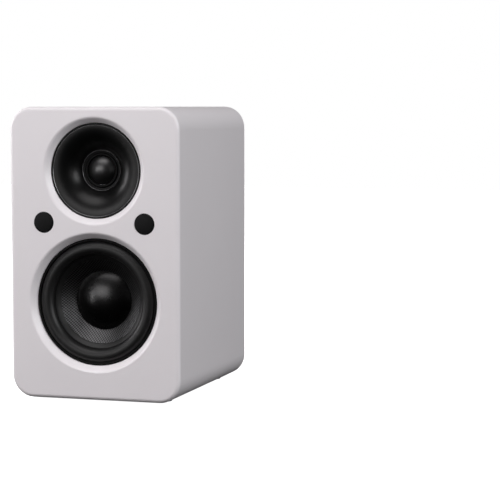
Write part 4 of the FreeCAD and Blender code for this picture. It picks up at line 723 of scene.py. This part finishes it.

# ------------------------------------------------------------------------------------------
# Waveguide: a horn moulded in satin black plastic with a fine spark-eroded skin.  Its rounded
# lip starts with a thin band of lighter metal painted on as a highlight, and it carries the
# tweeter's motor on its back.

tweeter_low, tweeter_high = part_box("tweeter_dome")
TWEETER_X = (tweeter_low.x + tweeter_high.x) / 2
TWEETER_Z = (tweeter_low.z + tweeter_high.z) / 2
LIP = 40.4
LIP_DEPTH = 5.7
THROAT = 18.25
FLARE = 24.6
HORN_RIM = 42.3


def ring_mask(material, across, up, inner, outer):
    """1 between two radii in mm round an axis that runs front to back, else 0."""
    x, _, z = node(material, "SeparateXYZ", _0=place(material)).outputs[:3]
    x = math_step(material, "SUBTRACT", x, across)
    z = math_step(material, "SUBTRACT", z, up)
    x_squared = math_step(material, "MULTIPLY", x, x)
    z_squared = math_step(material, "MULTIPLY", z, z)
    radius = math_step(material, "SQRT", math_step(material, "ADD", x_squared, z_squared))
    above = math_step(material, "GREATER_THAN", radius, inner * mm)
    below = math_step(material, "LESS_THAN", radius, outer * mm)
    return math_step(material, "MULTIPLY", above, below)


satin = finish("satin_black_plastic", (0.002, 0.002, 0.002), 0.34, Specular_IOR_Level=0.22)
# Painted highlight: a thin band of lighter metal round the lip's crest stands in for the glint on
# the rounded lip.
lip_highlight_band = ring_mask(satin, TWEETER_X, TWEETER_Z, LIP - 0.15, LIP + 0.35)
satin_patches = cloudy(satin, 16.0, 4.0)
satin_tone = between(satin, satin_patches, (0.001, 0.001, 0.001), (0.002, 0.002, 0.002))
painted_highlight_tone = between(satin, cloudy(satin, 4.0), (0.10, 0.10, 0.102), (0.15, 0.15, 0.153))
feed(satin, "Base Color", blend_of(satin, lip_highlight_band, satin_tone, painted_highlight_tone))
feed(satin, "Metallic", lip_highlight_band)
feed(satin, "Roughness", spread(satin, satin_patches, 0.30, 0.37))
feed(satin, "Normal", relief(satin, cloudy(satin, 0.35, 2.0), 0.008))
horn = bow((THROAT, 19.5), (LIP, LIP_DEPTH), FLARE, -1, 60)
lip = bow((LIP, LIP_DEPTH), (HORN_RIM, LIP_DEPTH), 1.15, -1, 14)
horn_back = soften([(HORN_RIM, 13.2, 0.3), (37.4, 13.2, 0.3), (37.4, 8.3), (33.5, 9.2),
                    (30.0, 10.9), (30.0, 22.0, 0.4), (THROAT, 22.0)])
waveguide = turned("tweeter_horn", horn + lip[1:] + horn_back, TWEETER_X, TWEETER_Z, satin,
                   steps=320, smooth=50.0)
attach(waveguide, "cabinet")
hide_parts("tweeter_waveguide")

# ------------------------------------------------------------------------------------------
# The ring that clamps the dome's edge at the throat: black metal, with a bead round its outer
# edge that is polished and painted lighter as a highlight, and the plain spacer ring under it.

BEAD = 17.95
CLAMP_OUT = 18.2
CLAMP_IN = 15.9
CLAMP_BACK = 20.5
clamp_black = finish("black_clamp_ring", (0.002, 0.002, 0.002), 0.5, Specular_IOR_Level=0.2)
# Partly real, partly painted highlight: the bead is polished, and its band is painted in lighter
# metal so that it shows as one thin bright ring.
bead_highlight_band = ring_mask(clamp_black, TWEETER_X, TWEETER_Z, BEAD - 0.3, BEAD + 0.5)
painted_bead_highlight = between(clamp_black, cloudy(clamp_black, 3.0), (0.10, 0.10, 0.102), (0.16, 0.16, 0.163))
flat_tone = between(clamp_black, cloudy(clamp_black, 2.0), (0.001, 0.001, 0.001),
                    (0.003, 0.003, 0.003))
feed(clamp_black, "Base Color", blend_of(clamp_black, bead_highlight_band, flat_tone, painted_bead_highlight))
feed(clamp_black, "Metallic", bead_highlight_band)
feed(clamp_black, "Roughness", spread(clamp_black, bead_highlight_band, 0.6, 0.35))
clamp_loop = soften([(CLAMP_OUT, CLAMP_BACK), (CLAMP_IN, CLAMP_BACK), (CLAMP_IN, 20.1, 0.15),
                     (17.4, 19.9, 0.1), (BEAD - 0.3, 19.45, 0.1), (BEAD, 19.1, 0.2),
                     (CLAMP_OUT, 19.2, 0.1)])
clamp = turned("tweeter_clamp", clamp_loop, TWEETER_X, TWEETER_Z, clamp_black, steps=240)
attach(clamp, "cabinet")
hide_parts("tweeter_clamp_ring")
wear(["tweeter_spacer_ring"], matte_ring)

# ------------------------------------------------------------------------------------------
# Dome: fine silk cloth, coated glossy black and pressed into a dome with its own small roll
# at the edge, which is clamped between the two rings.

SILK_EDGE = (12.7, 20.5)
SILK_CREST = 15.3
SILK_SKIN = 0.3
silk = finish("coated_silk", (0.001, 0.001, 0.001), 0.4, Coat_Weight=0.7, Coat_Roughness=0.32)
silk_weave = pattern(silk, "TexVoronoi", 0.28)[0]
feed(silk, "Base Color",
     between(silk, cloudy(silk, 3.0), (0.0005, 0.0005, 0.0005), (0.0015, 0.0015, 0.0015)))
feed(silk, "Roughness", spread(silk, cloudy(silk, 2.0), 0.36, 0.44))
feed(silk, "Normal", relief(silk, silk_weave, 0.004))
dome = turned("tweeter_silk_dome", dome_of(SILK_EDGE, SILK_CREST, SILK_SKIN), TWEETER_X,
              TWEETER_Z, silk, steps=160)
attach(dome, "tweeter_diaphragm")
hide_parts("tweeter_dome")

SMALL_FOOT = (12.85, 20.5)
SMALL_EDGE = (15.75, 20.5)
small_roll = bow(SMALL_EDGE, SMALL_FOOT, 1.45 * ROLL_EASE, 1, 18)
small_under = bow((13.15, 20.8), (15.45, 20.8), 1.15 * ROLL_EASE, -1, 14)
small_loop = [(17.2, 20.5)] + small_roll + [(12.85, 20.8)] + small_under + [(17.2, 20.8)]
dull_silk = worn("uncoated_silk", (0.0005, 0.0005, 0.0005), (0.0015, 0.0015, 0.0015), patch=2.0,
                 rough=(0.55, 0.65), grain=0.28, depth=0.01, Specular_IOR_Level=0.15)
small_surround = turned("tweeter_silk_roll", small_loop, TWEETER_X, TWEETER_Z, dull_silk,
                        steps=200, smooth=60.0)
follow_by_radius(small_surround)
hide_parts("tweeter_surround")

# ------------------------------------------------------------------------------------------
# Bass port and terminal cup: moulded black plastic with a fine grain, set flush in the back
# board.

moulded = worn("grained_black_plastic", (0.015, 0.015, 0.016), (0.026, 0.026, 0.027), patch=6.0,
               rough=(0.40, 0.52), grain=0.5, depth=0.03)
wear(["port_tube", "terminal_cup"], moulded)

# ------------------------------------------------------------------------------------------
# Binding posts: gold-plated studs and washers, and fluted knobs with coloured plastic skirts,
# red for plus and black for minus, with hexagon nuts and push-on tags behind the cup.

wear(["post_black", "post_red", "washer_black", "washer_red"], brass)
wear(["post_nuts"], plated)
red_knob = worn("red_knob_plastic", (0.42, 0.008, 0.008), (0.56, 0.018, 0.016), patch=4.0,
                rough=(0.22, 0.36), grain=0.6, depth=0.006, Coat_Weight=0.4)
wear(["knob_red"], red_knob)
black_knob = worn("black_knob_plastic", (0.012, 0.012, 0.013), (0.022, 0.022, 0.023), patch=4.0,
                  rough=(0.22, 0.36), grain=0.6, depth=0.006, Coat_Weight=0.4)
wear(["knob_black"], black_knob)

# ------------------------------------------------------------------------------------------
# Crossover: a small circuit board on four nylon stand-offs on the floor of the box, with two
# copper coils, three film capacitors and a cement resistor.

board_lacquer = finish("green_board", (0.02, 0.11, 0.05), 0.35, Coat_Weight=0.4)
tracks = node(board_lacquer, "TexBrick", Vector=place(board_lacquer), Scale=60.0).outputs[1]
board_base = between(board_lacquer, tracks, (0.016, 0.095, 0.042), (0.035, 0.16, 0.07))
feed(board_lacquer, "Base Color", board_base)
feed(board_lacquer, "Roughness", spread(board_lacquer, cloudy(board_lacquer, 2.0), 0.28, 0.42))
feed(board_lacquer, "Normal", relief(board_lacquer, tracks, 0.03))
wear(["crossover_board"], board_lacquer)

nylon = worn("white_nylon", (0.66, 0.65, 0.60), (0.78, 0.77, 0.72), patch=2.0, rough=(0.42, 0.58),
             grain=0.4, depth=0.01, Subsurface_Weight=0.1)
wear(["board_standoffs"], nylon)

wear(["inductor_woofer", "inductor_tweeter"], wound("coil_copper", 0.85, 2, 0.9))

film = worn("yellow_film_wrap", (0.54, 0.35, 0.04), (0.68, 0.48, 0.09), patch=5.0,
            rough=(0.22, 0.38), grain=1.2, depth=0.03, Coat_Weight=0.5)
wear(["capacitors"], film)

cement = worn("cement", (0.56, 0.54, 0.49), (0.72, 0.70, 0.64), patch=1.5, rough=(0.85, 0.98),
              grain=0.5, depth=0.1)
wear(["resistor"], cement)

# ------------------------------------------------------------------------------------------
# Wires: stranded copper in soft insulation, red and black, from the posts to the board and on
# to both drivers.

for word, dark, light in (("black", (0.012, 0.012, 0.013), (0.024, 0.024, 0.025)),
                          ("red", (0.38, 0.010, 0.010), (0.50, 0.020, 0.018))):
    insulation = worn(word + "_insulation", dark, light, patch=6.0, rough=(0.36, 0.5), grain=0.8,
                      depth=0.015)
    wear([word + "_wires"], insulation)

# ------------------------------------------------------------------------------------------
# The studio: a white floor and background, a large soft box overhead, one low in front, a thin
# strip on each side of it, one at the left, one at the right and one behind.  The room is a dim
# grey that the speaker sees only above the floor's edge.

scene = bpy.context.scene
scene.view_settings.view_transform = "Standard"

camera_data = bpy.data.cameras.new("camera")
camera_data.lens = 128.73
camera_data.sensor_width = 36.0
camera_data.clip_end = 100.0
camera = bpy.data.objects.new("camera", camera_data)
camera.location = (0.5981, -1.5551, 0.2610)
camera.rotation_euler = (math.radians(90 - 4.568), math.radians(0.041), math.radians(17.257))
scene.collection.objects.link(camera)
scene.camera = camera


def soft_light(name, azimuth, elevation, distance, width, tall, power, tint):
    """A soft box that looks at the speaker; azimuth counts from straight in front to the right."""
    data = bpy.data.lights.new(name, "AREA")
    data.shape = "RECTANGLE"
    data.size = width
    data.size_y = tall
    data.energy = power
    data.color = tint
    lamp = bpy.data.objects.new(name, data)
    turn = math.radians(azimuth)
    rise = math.radians(elevation)
    flat = math.cos(rise)
    away = Vector((math.sin(turn) * flat, -math.cos(turn) * flat, math.sin(rise)))
    lamp.location = BOX_MIDDLE + away * distance
    lamp.rotation_euler = away.to_track_quat("Z", "Y").to_euler()
    scene.collection.objects.link(lamp)


WARM_WHITE = (1.0, 0.98, 0.99)
soft_light("overhead_box", -15, 57, 2.4, 2.0, 1.3, 29.0, (1.0, 0.975, 0.985))
soft_light("front_box", -20, 12, 1.8, 0.9, 0.6, 7.9, WARM_WHITE)
soft_light("left_strip", -40, 3, 1.6, 0.06, 0.6, 2.2, WARM_WHITE)
soft_light("right_strip", 46, 10, 1.6, 0.12, 0.5, 0.4, WARM_WHITE)
soft_light("left_box", -80, 12, 1.6, 0.5, 0.7, 13.5, (1.0, 0.98, 1.0))
soft_light("right_box", 72, 20, 1.8, 0.8, 0.9, 19.0, (0.98, 0.985, 1.0))
soft_light("back_box", -126, 20, 1.8, 0.9, 0.9, 15.0, (1.0, 0.99, 0.99))

HORIZON = 0.5
room = bpy.data.worlds.new("grey_room")
scene.world = room
room.use_nodes = True
direction = node(room, "TexCoord").outputs["Generated"]
upwards = node(room, "SeparateXYZ", _0=direction).outputs[2]
walls = node(room, "ValToRGB", _0=node(room, "MapRange", _0=upwards, _1=-1.0).outputs[0])
dark_part, light_part = walls.color_ramp.elements
dark_part.position = HORIZON - 0.015
dark_part.color = (0.0, 0.0, 0.0, 1.0)
light_part.position = HORIZON + 0.005
light_part.color = (0.06, 0.06, 0.061, 1.0)
seen_directly = node(room, "LightPath").outputs["Is Camera Ray"]
backdrop = blend_of(room, seen_directly, walls.outputs[0], (1.0, 1.0, 1.0, 1.0))
room.node_tree.links.new(backdrop, room.node_tree.nodes["Background"].inputs[0])

FLOOR_REACH = 4
floor_data = bpy.data.meshes.new("floor")
floor_corners = [(-FLOOR_REACH, -FLOOR_REACH, 0), (FLOOR_REACH, -FLOOR_REACH, 0),
                 (FLOOR_REACH, FLOOR_REACH, 0), (-FLOOR_REACH, FLOOR_REACH, 0)]
floor_data.from_pydata(floor_corners, [], [(0, 1, 2, 3)])
floor = bpy.data.objects.new("floor", floor_data)
scene.collection.objects.link(floor)
paper_white = finish("white_paper", (0.9, 0.9, 0.9), 0.9)
paper_shader = paper_white.node_tree.nodes["Principled BSDF"]
paper_shader.inputs["Emission Color"].default_value = (1.0, 1.0, 1.0, 1.0)
paper_shader.inputs["Emission Strength"].default_value = 1.0
floor_data.materials.append(paper_white)
floor.visible_diffuse = False
floor.visible_glossy = False
